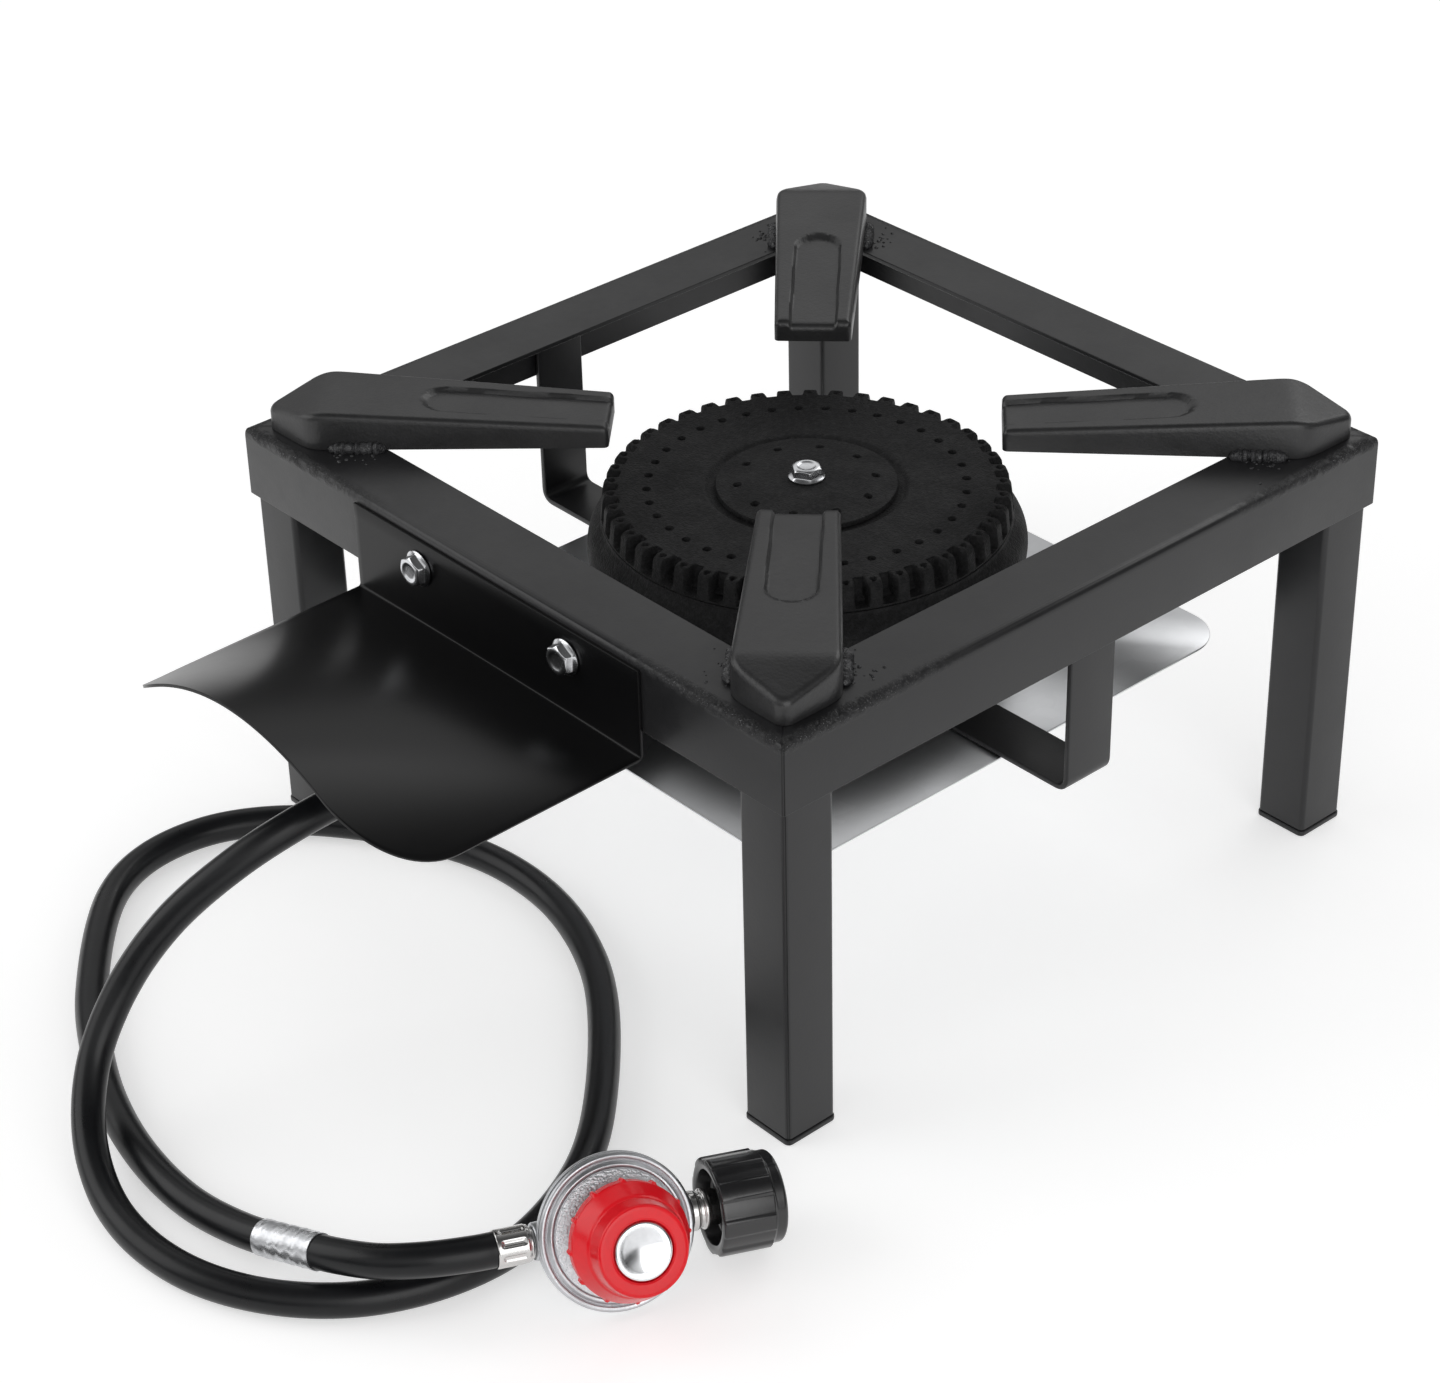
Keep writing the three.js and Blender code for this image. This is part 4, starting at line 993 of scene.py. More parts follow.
def flanged_bolt(shank, sides=72):
    """Rows from the tip of the thread up: the thread, the flange, six flats with a chamfer, and the
    dished top."""
    across, head, flange = 14.0, BOLT_HEAD, 9.3
    z = np.linspace(-shank + 0.6, -1.0, int(shank / PITCH * 7))
    flat = hex_radius(across, sides)
    chamfer = head - 0.15 - np.maximum(flat - 0.96 * across / 2, 0) * 0.62
    rows = [(0, -shank), (3.1, -shank), *thread_rows(3.72, 0.2, z, PITCH, sides)]
    rows += [(3.9, -0.6), (3.9, 0), (flange - 0.3, 0), (flange, 0.25), (flange, 0.75), (flange - 0.5, 1.15)]
    rows += [(flat + 0.35, 1.75), (flat, 2.2), (flat, chamfer - 0.2), (flat - 0.12, chamfer)]
    rows += [(6.3, head), (5.0, head)]
    rows += [(4.6, head - 0.1), (4.0, head - 0.45), (3.0, head - 0.55), (0, head - 0.6)]
    return revolve_rows(rows, sides)


def hex_nut(sides=72):
    """A nut along Z from 0: six flats, both ends chamfered, and a threaded bore."""
    across, height, bore = 13.0, 6.5, 4.1
    flat = hex_radius(across, sides)
    cut = np.maximum(flat - 0.95 * across / 2, 0) * 0.6
    thread = thread_rows(bore - 0.12, 0.12, np.linspace(0.6, height - 0.6, 24), PITCH, sides)
    outside = [(5.9, 0), (flat, cut), (flat, height - cut), (5.9, height)]
    rows = [*outside, (4.7, height), *reversed(thread), (4.7, 0)]
    return revolve_rows(rows, sides)


# ---- Burner ---------------------------------------------------------------------------------------


def bowl_shell():
    """The bowl as one turned wall, from the boss round the belly, over the rim and down the hollow."""
    corners = [
        (0, 116), (29.5, 116), (33, 123), (70, 132), (98, 147), (111.5, 159), (111.5, 172), (104, 181),
        (104, 183), (98, 183), (98, 177), (104, 167), (92, 154), (66, 139), (22, 131), (14, 150),
        (12, 168), (0, 168),
    ]
    rounding = [0, 2, 5, 14, 12, 9, 7, 2, 0.6, 0.6, 4, 6, 8, 8, 4, 3, 1, 0]
    return turned(corners, rounding, sides=192, steps=6) + CENTRE


def mixing_tube(inset, start, end):
    """The mixing tube along -Y: a flare into the bowl, a throat and a bell mouth, less an inset."""
    corners = [
        (0, start), (23 - inset, start), (19 - inset, 98), (19 - inset, 118), (21 - inset, 140),
        (25.5 - inset, 170), (28 - inset, 180), (28 - inset, end), (0, end),
    ]
    rounding = [0, 0.5 if inset else 3, 30, 12, 12, 6, 6, 0.5, 0]
    return along_y(turned(corners, rounding, sides=72, steps=6))


def spider_shells():
    """Three arms and a hub across the bell mouth."""
    hub = along_y(ring_body([(6.8, 176), (11, 176), (11, 189), (6.8, 189)], [0.3, 1, 1, 0.3], sides=48))
    shells = [(hub, True, True)]
    t = np.linspace(9.5, 26.5, 8)
    for k in range(3):
        a = math.radians(90 + 120 * k)
        path = np.column_stack([t * math.cos(a), t * math.sin(a), np.full(8, 184.0)])
        section = fillet([(-3, -5), (3, -5), (3, 5), (-3, 5)], 1.2, steps=3, closed=True)
        shells.append((along_y(capped(sweep(path, section[None]))), False, True))
    return shells


def port_mask(x, y, ring, count, radius, phase=0.0, soft=0.5):
    """1 inside each of count round ports on a ring and 0 outside: the nearest port's centre is found by
    rounding the angle."""
    step = TURN / count
    a = np.arctan2(y, x)
    nearest = np.round((a - phase) / step) * step + phase
    away = np.hypot(x - ring * np.cos(nearest), y - ring * np.sin(nearest))
    return smooth_step((radius - away) / soft + 0.5)


def deck_shell(settings):
    """The deck over (angle, row). Each row has a place on a tooth and one in the gap beside it, and a
    soft square wave in the angle goes from one to the other. Ports are sunk into the top."""
    teeth = settings.teeth
    sides = teeth * 20
    top, root = 197, 94.9
    under = [
        (0, 190), (94, 190), (98.5, 187), (98.5, 183.35), (103.6, 183.35), (103.9, 183.7), (103.9, 184.6),
    ]
    tooth = [
        (103.8, 185.2), (103.5, 188), (103.1, 192), (102.8, 194.4), (102, 196), (100.8, 196.8), (99.6, top),
    ]
    gap = [
        (101.4, 185), (97.4, 185.6), (96.4, 187.5), (96, 190.5), (95.8, 193), (95.6, 195.2), (95.2, 196.2),
    ]
    spans = [(99.2, 94, -0.6), (94, 84.5, -1.6), (84, 77, -0.45), (76, 53, -3.0)]
    inwards = np.concatenate([np.arange(*span) for span in spans])
    flat = [(r, top) for r in inwards]
    sloped = [(min(r, root), top - max(0, r - root) * 0.3) for r in inwards]
    well = [(53, top), (52, top), (51, 196.6), (50, 195.4), (49, 195), (0, 195)]
    on_tooth = np.array(under + tooth + flat + well, float)
    in_gap = np.array(under + gap + sloped + well, float)
    a = angles(sides)
    on = ridges(a, teeth, 0.56, 0.12)
    radius = on * on_tooth[None, :, 0] + (1 - on) * in_gap[None, :, 0]
    height = on * on_tooth[None, :, 1] + (1 - on) * in_gap[None, :, 1]
    x, y = radius * np.cos(a), radius * np.sin(a)
    port = settings.port / MM / 2
    pierced = (height > 195.9) & (radius > 53)
    holes = port_mask(x, y, 80.5, settings.middle_ports, port) * 4.5
    holes = holes + port_mask(x, y, 98.4, teeth, port * 0.72, soft=0.8) * 3.0
    return revolve(radius, height - holes * pierced, sides) + CENTRE


def cap_shell(settings):
    """The centre cap: a low dome, less its ring of ports."""
    edge_r, edge_z = [0, 45.2, 46, 46], [195.35, 195.35, 195.7, 197.2]
    top_r = [[45.6], np.linspace(44.6, 38.5, 6), np.arange(38, 31.9, -0.4), np.linspace(31, 4, 12), [0]]
    r = np.concatenate([edge_r, *top_r])
    dome = 200.9 - 2.9 * smooth_step((r - 14) / 34) ** 1.3
    z = np.concatenate([edge_z, dome[len(edge_z) :]])
    grid = revolve(r, z, 300)
    port, first = settings.port / MM / 2, math.radians(18)
    holes = port_mask(grid[..., 0], grid[..., 1], 35, settings.inner_ports, port, first)
    grid[:, len(edge_z) :, 2] -= 4.0 * holes[:, len(edge_z) :]
    return grid + CENTRE


# ---- Hose and regulator ---------------------------------------------------------------------------


SLEEVE = 17.2  # length of a sleeve
SLEEVE_AT = -53.0  # the far sleeve's open end, on the regulator's inlet axis


def sleeve_shell(crimps=8, sides=160):
    """A crimped sleeve along Z: its radius dips in soft grooves along the middle, and both ends stay
    round. A neck and a bore follow at the far end."""
    z = np.concatenate([[0, 0.15, 0.5], np.linspace(1, SLEEVE - 3.2, 30), [SLEEVE - 2.2, SLEEVE - 1.7]])
    outer = np.where(z > SLEEVE - 2.5, 8.3, 8.8 - 0.35 * np.exp(-z / 0.35))
    middle = smooth_step((z - 1.6) / 1.6) * smooth_step((SLEEVE - 3.6 - z) / 1.6)
    band = outer[None] - 0.85 * (1 - ridges(angles(sides), crimps, 0.62, 0.22)) * middle
    tail_r = [7.2, 7.2, 7.0, 3.0, 3.0]
    tail_z = [SLEEVE - 1.6, SLEEVE - 0.3, SLEEVE, SLEEVE, 0]
    radius = np.concatenate([band, np.broadcast_to(tail_r, (sides, len(tail_r)))], 1)
    return revolve(radius, np.concatenate([z, tail_z]), sides)


def body_shells(settings):
    """The regulator's cup with its rolled rim, its outlet collar and its inlet boss."""
    rim = settings.rim / MM
    corners = [
        (0, -18), (23.5, -18), (25, -11), (28, -3), (31, 2), (rim - 0.8, 4.6), (rim, 6), (rim, 8.2),
        (27, 8.2), (25, 2), (18, -6), (0, -6),
    ]
    rounding = [0, 3, 4, 5, 3, 1.5, 1, 0.5, 0.5, 3, 3, 0]
    cup = turned(corners, rounding, sides=144)
    outlet = [
        (0, -35.6), (8.1, -35.6), (8.6, -34.8), (8.6, -31.5), (7.4, -30.6), (8.2, -24), (8.2, -20), (0, -20),
    ]
    inlet = [(0, 20), (9.8, 20), (9.8, 34), (9.0, 36.2), (0, 36.2)]
    outlet = along_x(turned(outlet, [0, 0.5, 0.5, 0.4, 0.4, 1, 0.5, 0], sides=64))
    inlet = along_x(turned(inlet, [0, 1, 1.2, 0.3, 0], sides=64))
    return [(in_regulator(grid), True, False) for grid in (cup, outlet, inlet)]


def bonnet_shell(settings):
    """The cover as one turned wall: a rolled rim, a groove, a second rim, then the neck and the bore."""
    rim = settings.rim / MM
    low = 10.0
    corners = [
        (25, low), (rim, low), (rim, low + 1.6), (rim - 1.0, low + 2.6), (rim - 2.6, low + 2.4),
        (rim - 3.2, low + 1.5), (rim - 4.0, low + 2.2), (rim - 4.8, low + 3.2), (rim - 6.0, low + 3.1),
        (rim - 6.7, low + 2.7), (28, low + 3.6), (22, low + 6), (16, low + 8), (14, low + 10), (14, 31),
        (11, 31), (11, low + 8), (20, low + 3),
    ]
    rounding = [0.3, 0.9, 0.8, 0.6, 0.5, 0.4, 0.5, 0.5, 0.3, 0.3, 1, 3, 2, 1, 0.5, 0.5, 1, 1]
    return in_regulator(ring_body(corners, rounding, sides=144))


def bonnet_face_shell():
    """The grained ring between the cover's second rim and its neck, a thin skin just above it."""
    r = np.linspace(16.5, 28.6, 24)
    z = np.interp(r, [16, 22, 28, 29], [18.0, 16.0, 13.6, 13.2]) + 0.14
    radius = np.concatenate([r, r[::-1]])
    height = np.concatenate([z, z[::-1] - 0.5])
    return in_regulator(revolve(radius, height, 144))


def knob_shell(settings):
    """The knob over (angle, row): nubs on the skirt, a broad slope, a stepped crown, the well for the
    cap, and the hollow under the skirt."""
    nubs = settings.nubs
    sides = nubs * 30
    corners = [
        (0, 36.4), (15.6, 36.4), (15.6, 33), (24, 30), (24, 26), (26.7, 26), (26.9, 31.8), (26.3, 33.2),
        (22.7, 40.8), (21.6, 41.9), (20.5, 49.6), (20.0, 50.7), (18.8, 51), (14.4, 51), (13.6, 50.4),
        (13.4, 48.5), (0, 48.5),
    ]
    rounding = [0, 0.5, 1, 1, 0.6, 0.7, 0.9, 1.0, 0.8, 0.8, 0.5, 0.6, 0.6, 0.6, 0.5, 0.3, 0]
    r, z = fillet(corners, rounding, steps=6).T
    a = angles(sides)
    skirt = (r > 26.0) & (z < 33.5)
    nub = ridges(a, nubs, 0.13, 0.06) * skirt[None] * smooth_step((32.6 - z) / 1.6)
    return in_regulator(revolve(r + 1.0 * nub, z, sides))


def cap_disc_shell():
    """The knob's bright cap: a rounded ring about a round dish whose depth goes as the radius squared."""
    corners = [(0, 48.72), (12.9, 48.72), (13.1, 50.3), (12.2, 50.9), (9.6, 50.8)]
    ring = fillet(corners, [0, 0.3, 0.7, 0.8, 0], steps=6)
    share = np.linspace(1, 0, 24)
    dish = np.column_stack([9.2 * share, 49.1 + 1.55 * share**2])
    radius, height = np.concatenate([ring, dish]).T
    return in_regulator(revolve(radius, height, 96))


def tank_nut_shell(settings):
    """The tank nut over (angle, row) along X: crowned ribs with steep flanks as far as a plain collar,
    a deep recess towards the regulator, the web and the threaded socket. A rib's height falls with the
    square of the way from its middle."""
    ribs = settings.ribs
    sides = ribs * 30
    corners = [
        (9, 54.1), (15.8, 54.1), (17.2, 46.4), (19.4, 46.0), (21.1, 46.2), (21.6, 47.4), (21.6, 70.6),
        (20.9, 71.4), (20.9, 75.8), (19.6, 76.9), (18.0, 77.0), (17, 75.8), (17, 57.4), (16, 56.7), (9, 56.7),
    ]
    rounding = [0.4, 1.4, 0.5, 0.4, 0.5, 0.7, 0.5, 0.5, 0.9, 0.6, 0.5, 0.6, 0.6, 0.6, 0.4]
    r, z = fillet(corners, rounding, steps=6, closed=True).T
    a = angles(sides)
    wall = smooth_step((r - 19.0) / 1.6)
    wall = wall * smooth_step((70.9 - z) / 0.9) * smooth_step((z - 45.8) / 0.8)
    rib = ridges(a, ribs, 0.5, 0.07, NUT_TURN) * wall
    chord = (1.1 - 0.9 * ridge_offset(a, ribs, NUT_TURN) ** 2) * rib
    socket = (r > 16.8) & (r < 17.2) & (z > 58) & (z < 75.5)
    thread = 0.35 * np.cos(TURN * z[None] / 2.5 - a) * socket
    return in_regulator(along_x(revolve(r + chord + thread, z, sides)))


def nipple_shell():
    """The inlet stem along X: a stepped shoulder, a neck, the flange inside the nut and a round nose."""
    corners = [
        (3, 36.5), (9.2, 36.5), (9.2, 39.4), (8.1, 40.2), (8.1, 42.0), (9.2, 42.6), (9.2, 44.4), (8.2, 45.2),
        (8.2, 56.9), (12, 56.9), (12, 59.9), (7, 60.7), (7, 63), (5, 67), (3, 67),
    ]
    rounding = [0.2, 0.6, 0.6, 0.4, 0.4, 0.4, 0.4, 0.4, 0.3, 0.5, 0.5, 0.6, 1.5, 1, 0.2]
    return in_regulator(along_x(ring_body(corners, rounding, sides=72)))


# ---- Operators ------------------------------------------------------------------------------------


class PieceOperator:
    """Shared by the operators, each of which has its own build()."""

    bl_options = {"REGISTER", "UNDO"}

    def execute(self, context):
        self.build(context.scene)
        return {"FINISHED"}


class STAND_OT_stage(PieceOperator, bpy.types.Operator):
    """Add the camera, the lamps, the world and the pale floor"""

    bl_idname = "stand.stage"
    bl_label = "Stage"

    def build(self, scene):
        add_camera(scene)
        add_world(scene)
        add_lamps(scene)
        add_floor(scene)
        scene.view_settings.view_transform = "Standard"


class STAND_OT_hose(PieceOperator, bpy.types.Operator):
    """Add the hose, its foil band and its two crimped sleeves, with the regulator on its end"""

    bl_idname = "stand.hose"
    bl_label = "Hose"

    def build(self, scene):
        hose = scene.hose
        radius = hose.diameter / MM / 2
        path = catmull_rom(HOSE_ROUTE, 16) / MM
        tube = capped(sweep(path, circle(radius, 28)[None]))
        piece = add_piece("gas_hose_rubber", [(tube, False, True)], "rubber", "gas_hose")
        self.add_band(path, radius, hose.label / MM)
        sleeve = sleeve_shell()
        far_end = STAND_Y - box_mm("ferrule_burner")[0][1]
        near = along_y(sleeve * [1, 1, -1] + [0, 0, far_end])
        add_piece("sleeve_burner", [(near, True, True)], "nickel", "ferrule_burner")
        far = in_regulator(along_x(sleeve) + [SLEEVE_AT, 0, 0])
        add_piece("sleeve_regulator", [(far, True, True)], "nickel", "ferrule_regulator")

    @staticmethod
    def add_band(path, radius, band_length):
        """The foil band: a tube just outside the hose, crinkled by a few waves along and round it."""
        steps = np.append(0, np.cumsum(np.linalg.norm(np.diff(path, axis=0), axis=1)))
        at = LABEL_AT * steps[-1] + np.linspace(-0.5, 0.5, 40)[:, None] * band_length
        line = np.column_stack([np.interp(at[:, 0], steps, path[:, k]) for k in range(3)])
        a = angles(48)[:, 0]
        wave = 0.10 * np.sin(3 * a + at * 0.9) + 0.07 * np.sin(7 * a - at * 1.7)
        outer = (radius + 0.55 + wave)[..., None] * circle(1, 48)
        inner = np.broadcast_to(circle(radius + 0.15, 48), outer.shape)
        shell = np.concatenate([sweep(line, outer), sweep(line, inner)[::-1]])
        add_piece("foil_band", [(shell, True, True)], "foil", "hose_label")


class STAND_OT_frame(PieceOperator, bpy.types.Operator):
    """Add the welded frame, the legs and their foot plates"""

    bl_idname = "stand.frame"
    bl_label = "Frame and Legs"

    def build(self, scene):
        rails = ["rail_front", "rail_right", "rail_back", "rail_left"]
        add_piece("frame_welded", [(frame_ring(scene.stand), True, True)], "frame_coat", *rails)
        for corner in CORNERS:
            leg, foot = "leg_" + corner, "foot_plate_" + corner
            add_piece("tube_" + leg, [(leg_tube(*box_mm(leg)), True, True)], "frame_coat", leg)
            low, high = box_mm(foot)
            plate = slab(rounded_square((high[0] - low[0]) / 2, 3.0), low[2], high[2], 0.7)
            plate = plate + np.append((low[:2] + high[:2]) / 2, 0)
            add_piece("plate_" + corner, [(plate, False, True)], "frame_coat", foot)


class STAND_OT_supports(PieceOperator, bpy.types.Operator):
    """Add the four cast pot supports and the welds that hold them"""

    bl_idname = "stand.supports"
    bl_label = "Pot Supports"

    def build(self, scene):
        welds = []
        for number, corner in enumerate(CORNERS):
            angle = math.radians(90 * number - 135)
            shells = [(support_shell(scene.stand, angle), False, True)]
            add_piece("cast_support_" + corner, shells, "support_coat", "pot_support_" + corner)
            for side in (-1, 1):
                welds += self.weld(angle, side, number * 2 + (side > 0))
        add_piece("weld_beads", welds, "weld")

    @staticmethod
    def weld(angle, side, seed):
        """One bead beside a support's foot, from the rail's inner edge outwards, with its spatter."""
        height = RAIL_TOP + 1.4
        start, end = about_z(np.array([[207.0, side * 24.8, height], [236.0, side * 25.6, height]]), angle)
        spatter = weld_spatter((start + end) / 2, 7.0, 44, seed + 50)
        return [(weld_bead(start, end, 3.7, seed), False, True), *((drop, True, False) for drop in spatter)]


class STAND_OT_strap(PieceOperator, bpy.types.Operator):
    """Add the burner's strap and the heat shield"""

    bl_idname = "stand.strap"
    bl_label = "Strap and Heat Shield"

    def build(self, scene):
        add_piece("strap_bar", [(strap_shell(), False, True)], "frame_coat", "burner_strap")
        outline = rounded_square((SHIELD_HIGH[0] - SHIELD_LOW[0]) / 2, 24.0, steps=14)
        plate = slab(outline, SHIELD_LOW[2], SHIELD_HIGH[2], 0.4, steps=3) + CENTRE
        add_piece("shield_plate", [(plate, False, True)], "shield_sheet", "heat_shield")


class STAND_OT_guard(PieceOperator, bpy.types.Operator):
    """Add the hose guard, its flanged bolts and their nuts"""

    bl_idname = "stand.guard"
    bl_label = "Hose Guard"

    def build(self, scene):
        sheet = guard_sheet(scene.stand)
        guard = add_piece("guard_sheet", [(sheet, False, False)], "guard_coat", "hose_guard")
        modify(guard, "SOLIDIFY", thickness=GUARD["thick"] * MM, offset=0.0)
        modify(guard, "BEVEL", width=0.35 * MM, segments=2, limit_method="ANGLE")
        x, y, z = np.moveaxis(flanged_bolt(GUARD_SHANK), -1, 0)
        nut_x, nut_y, nut_z = np.moveaxis(hex_nut(), -1, 0)
        for side in ("left", "right"):
            low, high = box_mm("guard_bolt_" + side)
            place = [(low[0] + high[0]) / 2, 0, (low[2] + high[2]) / 2]
            bolt = np.stack([x, high[1] - GUARD_SHANK - z, y], -1) + place
            add_piece("hex_bolt_" + side, [(bolt, True, False)], "zinc", "guard_bolt_" + side)
            front = box_mm("guard_nut_" + side)[0][1]
            nut = np.stack([nut_x, front + nut_z, -nut_y], -1) + place
            add_piece("hex_nut_" + side, [(nut, True, True)], "zinc", "guard_nut_" + side)


class STAND_OT_burner(PieceOperator, bpy.types.Operator):
    """Add the cast burner, its deck, cap, bolt, washer and nut"""

    bl_idname = "stand.burner"
    bl_label = "Burner"

    def build(self, scene):
        base = add_piece("casting_base", [(bowl_shell(), True, False)], "cast_iron", "burner_base")
        corners = [(0, 132), (21, 132), (66, 140), (92, 155), (103, 167), (97, 182), (0, 182)]
        hollow = tool_object(turned(corners, 2, 96) + CENTRE, True, False)
        tube = tool_object(mixing_tube(0, 26, 190), True, False)
        combine(tube, hollow, "DIFFERENCE")
        combine(base, tube, "UNION")
        combine(base, tool_object(mixing_tube(4, 40, 192), True, False), "DIFFERENCE")
        for shell in spider_shells():
            combine(base, tool_object(*shell), "UNION")
        smooth(base.data)
        base.data.materials.clear()
        base.data.materials.append(finish("cast_iron"))
        add_piece("casting_deck", [(deck_shell(scene.burner), True, False)], "cast_iron", "burner_deck")
        add_piece("casting_cap", [(cap_shell(scene.burner), True, False)], "cast_iron", "burner_cap")
        low, high = box_mm("burner_bolt")[:, 2]
        bolt = flanged_bolt(high - low - BOLT_HEAD) + CENTRE + [0, 0, high - BOLT_HEAD]
        add_piece("centre_bolt", [(bolt, True, False)], "zinc", "burner_bolt")
        nut = hex_nut() + CENTRE + [0, 0, box_mm("burner_nut")[0][2]]
        add_piece("centre_nut", [(nut, True, True)], "zinc", "burner_nut")
        low, high = box_mm("burner_washer")[:, 2]
        corners = [(4.6, low), (9, low), (9, high), (4.6, high)]
        washer = ring_body(corners, 0.35, sides=64, steps=3) + CENTRE
        add_piece("centre_washer", [(washer, True, True)], "zinc", "burner_washer")


class STAND_OT_inlet(PieceOperator, bpy.types.Operator):
    """Finish the air shutter, its screw, the gas fitting and the swivel nut"""

    bl_idname = "stand.inlet"
    bl_label = "Gas Inlet"

    def build(self, scene):
        paint("zinc", "air_shutter", "shutter_screw")
        paint("brass", "gas_fitting", "hose_swivel_nut")


class STAND_OT_regulator(PieceOperator, bpy.types.Operator):
    """Add the regulator's body and cover, and finish what they hold"""

    bl_idname = "stand.regulator"
    bl_label = "Regulator"

    def build(self, scene):
        add_piece("regulator_cup", body_shells(scene.regulator), "die_cast", "regulator_body")
        cover = [(bonnet_shell(scene.regulator), True, True)]
        add_piece("regulator_cover", cover, "die_cast", "regulator_bonnet")
        add_piece("cover_face", [(bonnet_face_shell(), True, True)], "grained_face")
        paint("rubber", "regulator_diaphragm")
        paint("spring_steel", "diaphragm_plate", "pressure_spring", "spring_seat")
        paint("brass", "adjusting_screw")


class STAND_OT_knob(PieceOperator, bpy.types.Operator):
    """Add the regulator's knob and its bright cap"""

    bl_idname = "stand.knob"
    bl_label = "Knob"

    def build(self, scene):
        shell = [(knob_shell(scene.regulator), True, False)]
        add_piece("knob_moulding", shell, "red_plastic", "knob", body="knob_assembly")
        cap = [(cap_disc_shell(), True, False)]
        add_piece("knob_cap_disc", cap, "cap_plate", "knob_cap", body="knob_assembly")


class STAND_OT_tank_nut(PieceOperator, bpy.types.Operator):
    """Add the inlet stem and the ribbed tank nut, and finish the seal"""

    bl_idname = "stand.tank_nut"
    bl_label = "Tank Nut"

    def build(self, scene):
        add_piece("inlet_stem", [(nipple_shell(), True, True)], "nickel", "inlet_nipple")
        shell = [(tank_nut_shell(scene.regulator), True, True)]
        add_piece("nut_moulding", shell, "black_plastic", "tank_nut", body="tank_nut_body")
        paint("rubber", "nipple_seal")


# ---- Stage ----------------------------------------------------------------------------------------

CAMERA_PLACE = (1.1355, STAND_Y * MM - 1.0478, 1.0647)
CAMERA_YAW, CAMERA_PITCH, CAMERA_ROLL = np.radians([-49.01, 32.67, -1.43])
LAMP_TARGET = np.array([0.0, 0.0, 0.1])
FLOOR_HALF, FLOOR_Z = 30.0, -0.0004  # a little below the feet, so that the two never share a plane


def add_camera(scene):
    """The photograph's view: yaw from +Y, pitch down, and a slight roll."""
    yaw, pitch, roll = CAMERA_YAW, CAMERA_PITCH, CAMERA_ROLL
    ahead = np.array([np.sin(yaw) * np.cos(pitch), np.cos(yaw) * np.cos(pitch), -np.sin(pitch)])
    level = np.array([np.cos(yaw), -np.sin(yaw), 0.0])
    up = np.cross(level, ahead)
    right = level * np.cos(roll) + up * np.sin(roll)
    upright = up * np.cos(roll) - level * np.sin(roll)
    data = bpy.data.cameras.new("camera")
    data.lens = scene.stage.lens
    data.sensor_width = 36
    data.clip_end = 50
    camera = add_object("camera", data)
    columns = np.column_stack([right, upright, -ahead])
    camera.matrix_world = Matrix.Translation(CAMERA_PLACE) @ Matrix(columns.tolist()).to_4x4()
    scene.camera = camera


def camera_rays(tree):
    """1 for rays from the camera and by way of mirrors or glass, 0 for the light that falls on things."""
    rays = add_node(tree, "ShaderNodeLightPath").outputs
    both = math_node(tree, "MAXIMUM", rays["Is Camera Ray"], rays["Is Glossy Ray"])
    return math_node(tree, "MAXIMUM", both, rays["Is Transmission Ray"])


def fade(tree, value, source, target):
    """A soft step from one target value to the other while the value crosses the source range."""
    ends = {"From Min": source[0], "From Max": source[1], "To Min": target[0], "To Max": target[1]}
    links = {"Value": value, **ends}
    return add_node(tree, "ShaderNodeMapRange", links, interpolation_type="SMOOTHSTEP").outputs[0]


def add_world(scene):
    """White for the camera. Mirrors see two bright walls, before and behind the camera, that fade
    towards the ground, the zenith and the sides; everything else gets an even, weaker light."""
    world = bpy.data.worlds.new("studio")
    scene.world = world
    world.use_nodes = True
    tree = world.node_tree
    toward = add_node(tree, "ShaderNodeTexCoord").outputs["Generated"]
    height = add_node(tree, "ShaderNodeSeparateXYZ", {"Vector": toward}).outputs["Z"]
    across = vector_math(tree, "DOT_PRODUCT", toward, (-0.75, 0.66, 0.0), "Value")
    sky = fade(tree, height, (0.15, 0.5), (0.07, 0.85))
    sky = times(tree, sky, fade(tree, height, (0.6, 0.92), (1.0, 0.3)))
    sky = times(tree, sky, fade(tree, math_node(tree, "ABSOLUTE", across), (0.1, 0.62), (0.3, 1.0)))
    rays = add_node(tree, "ShaderNodeLightPath").outputs
    white = math_node(tree, "MAXIMUM", rays["Is Camera Ray"], sky)
    links = {"Value": camera_rays(tree), "To Min": scene.stage.ambient, "To Max": white}
    strength = add_node(tree, "ShaderNodeMapRange", links)
    background = tree.nodes["Background"]
    background.inputs["Color"].default_value = (1, 1, 1, 1)
    tree.links.new(strength.outputs[0], background.inputs["Strength"])


def add_lamp(name, place, size, power):
    """A square area lamp that faces the stand's middle."""
    data = bpy.data.lights.new(name, "AREA")
    data.shape = "SQUARE"
    data.size = size
    data.energy = power
    away = np.array(place) - LAMP_TARGET
    matrix = Matrix.Translation(place) @ Matrix(facing(away).tolist()).to_4x4()
    add_object(name, data).matrix_world = matrix


def facing(direction):
    """Axes whose Z points along the direction, with X level."""
    z = direction / np.linalg.norm(direction)
    x = np.cross([0, 0, 1.0], z)
    x /= np.linalg.norm(x)
    return np.column_stack([x, np.cross(z, x), z])


def add_lamps(scene):
    key = scene.stage.key
    add_lamp("key", (-1.5, -1.7, 1.3), 2.0, key)
    add_lamp("fill", (2.0, -0.9, 0.9), 1.7, key * 0.8)
    add_lamp("back", (-0.3, 2.0, 1.8), 1.4, key * 0.4)


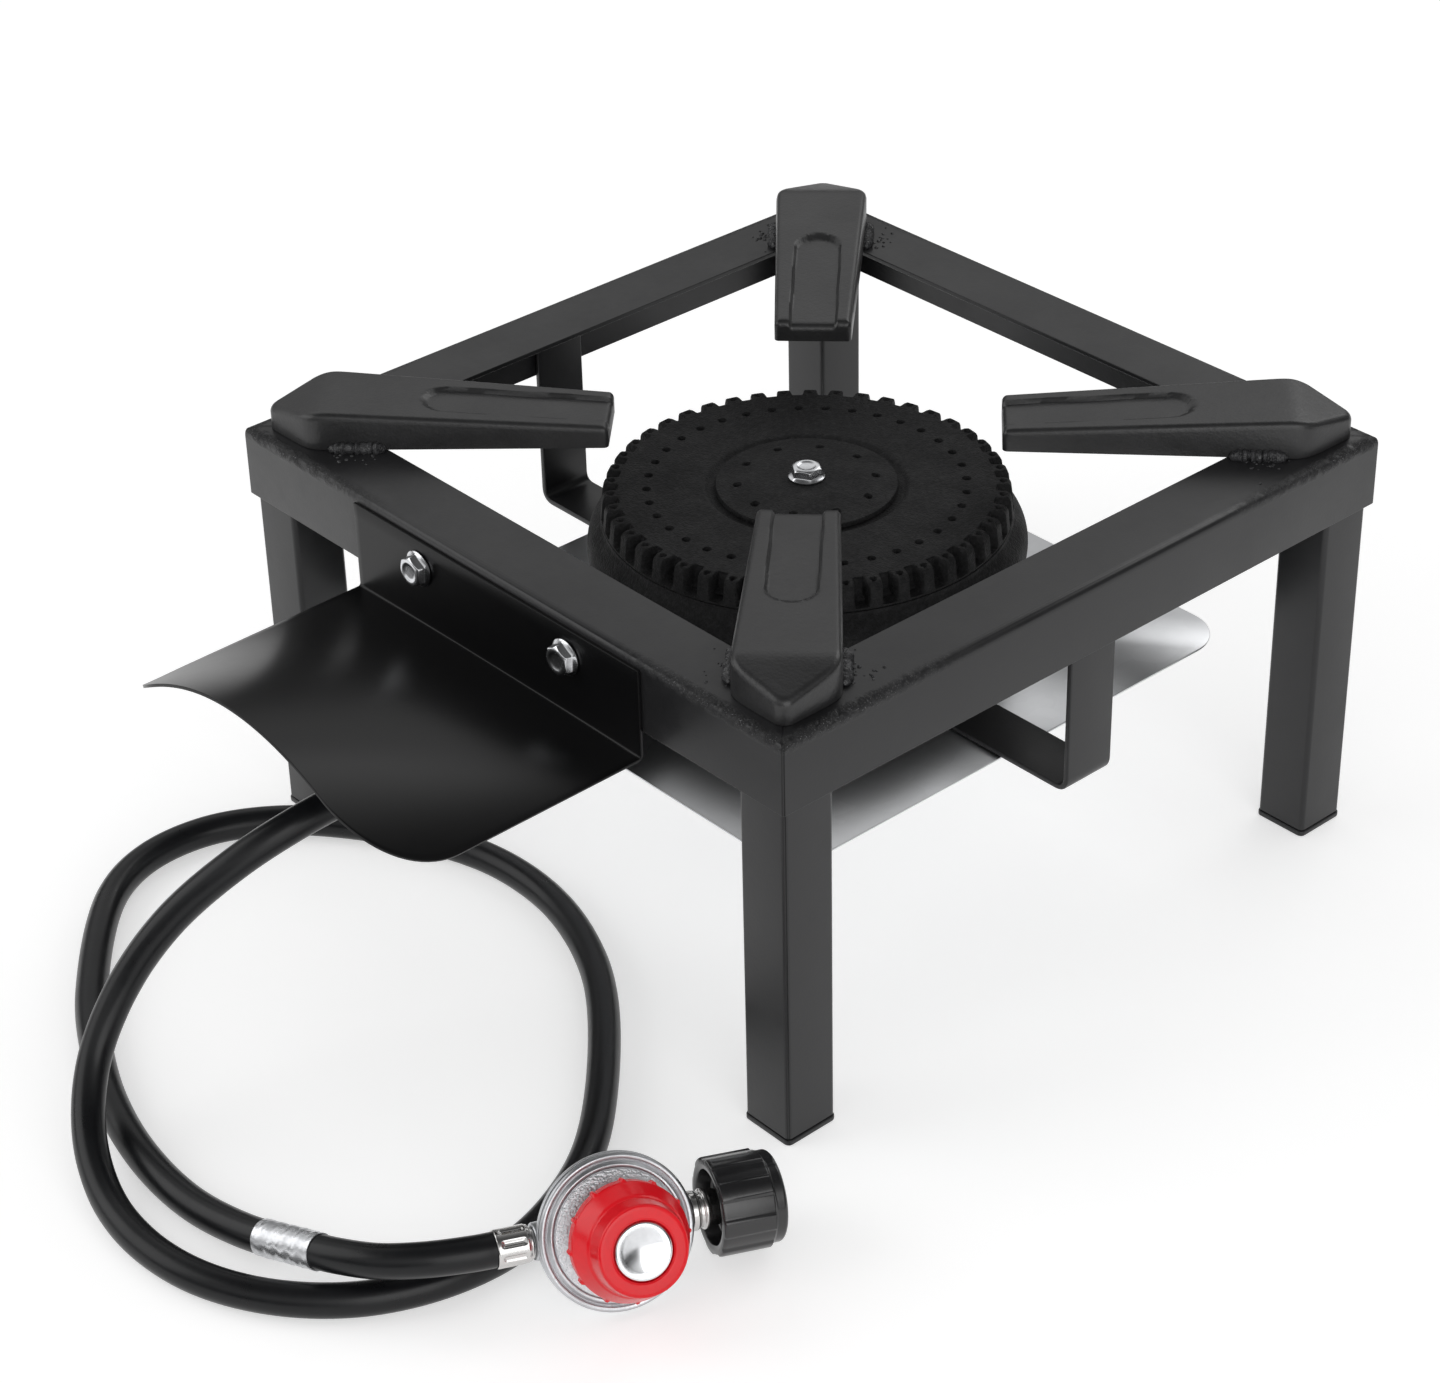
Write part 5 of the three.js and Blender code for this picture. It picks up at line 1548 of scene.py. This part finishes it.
def add_floor(scene):
    """A plain pale floor that keeps the shadow and shows white where nothing shades it."""
    mesh = bpy.data.meshes.new("floor")
    corners = [(x * FLOOR_HALF, y * FLOOR_HALF, FLOOR_Z) for x, y in ((-1, -1), (1, -1), (1, 1), (-1, 1))]
    mesh.from_pydata(corners, [], [(0, 1, 2, 3)])
    floor = add_object("floor", mesh)
    material = bpy.data.materials.new("floor")
    material.use_nodes = True
    tree = material.node_tree
    shader = tree.nodes["Principled BSDF"]
    shader.inputs["Base Color"].default_value = rgba(scene.stage.floor)
    shader.inputs["Roughness"].default_value = 0.9
    shader.inputs["Specular IOR Level"].default_value = 0.0
    shader.inputs["Emission Color"].default_value = (1, 1, 1, 1)
    tree.links.new(times(tree, camera_rays(tree), 0.5), shader.inputs["Emission Strength"])
    floor.data.materials.append(material)


# ---- Panel and registration -----------------------------------------------------------------------

BUILD_ORDER = [
    STAND_OT_stage,
    STAND_OT_regulator,
    STAND_OT_knob,
    STAND_OT_tank_nut,
    STAND_OT_hose,
    STAND_OT_frame,
    STAND_OT_supports,
    STAND_OT_strap,
    STAND_OT_guard,
    STAND_OT_burner,
    STAND_OT_inlet,
]
SETTINGS = {
    "stand": StandSettings,
    "burner": BurnerSettings,
    "hose": HoseSettings,
    "regulator": RegulatorSettings,
    "stage": StageSettings,
}


class STAND_PT_panel(bpy.types.Panel):
    """Lists the settings and the steps that build the stand"""

    bl_idname = "STAND_PT_panel"
    bl_label = "Burner Stand"
    bl_space_type = "VIEW_3D"
    bl_region_type = "UI"
    bl_category = "Burner Stand"

    def draw(self, context):
        for name, settings in SETTINGS.items():
            box = self.layout.box()
            box.label(text=name.title())
            for key in settings.__annotations__:
                box.prop(getattr(context.scene, name), key)
        for operator in BUILD_ORDER:
            self.layout.operator(operator.bl_idname)


CLASSES = [*SETTINGS.values(), *BUILD_ORDER, STAND_PT_panel]


def register():
    for item in CLASSES:
        bpy.utils.register_class(item)
    for name, settings in SETTINGS.items():
        setattr(bpy.types.Scene, name, PointerProperty(type=settings))


def unregister():
    for name in SETTINGS:
        delattr(bpy.types.Scene, name)
    for item in reversed(CLASSES):
        bpy.utils.unregister_class(item)


def main():
    register()
    for operator in BUILD_ORDER:
        group, call = operator.bl_idname.split(".")
        getattr(getattr(bpy.ops, group), call)()


if __name__ == "__main__":
    main()
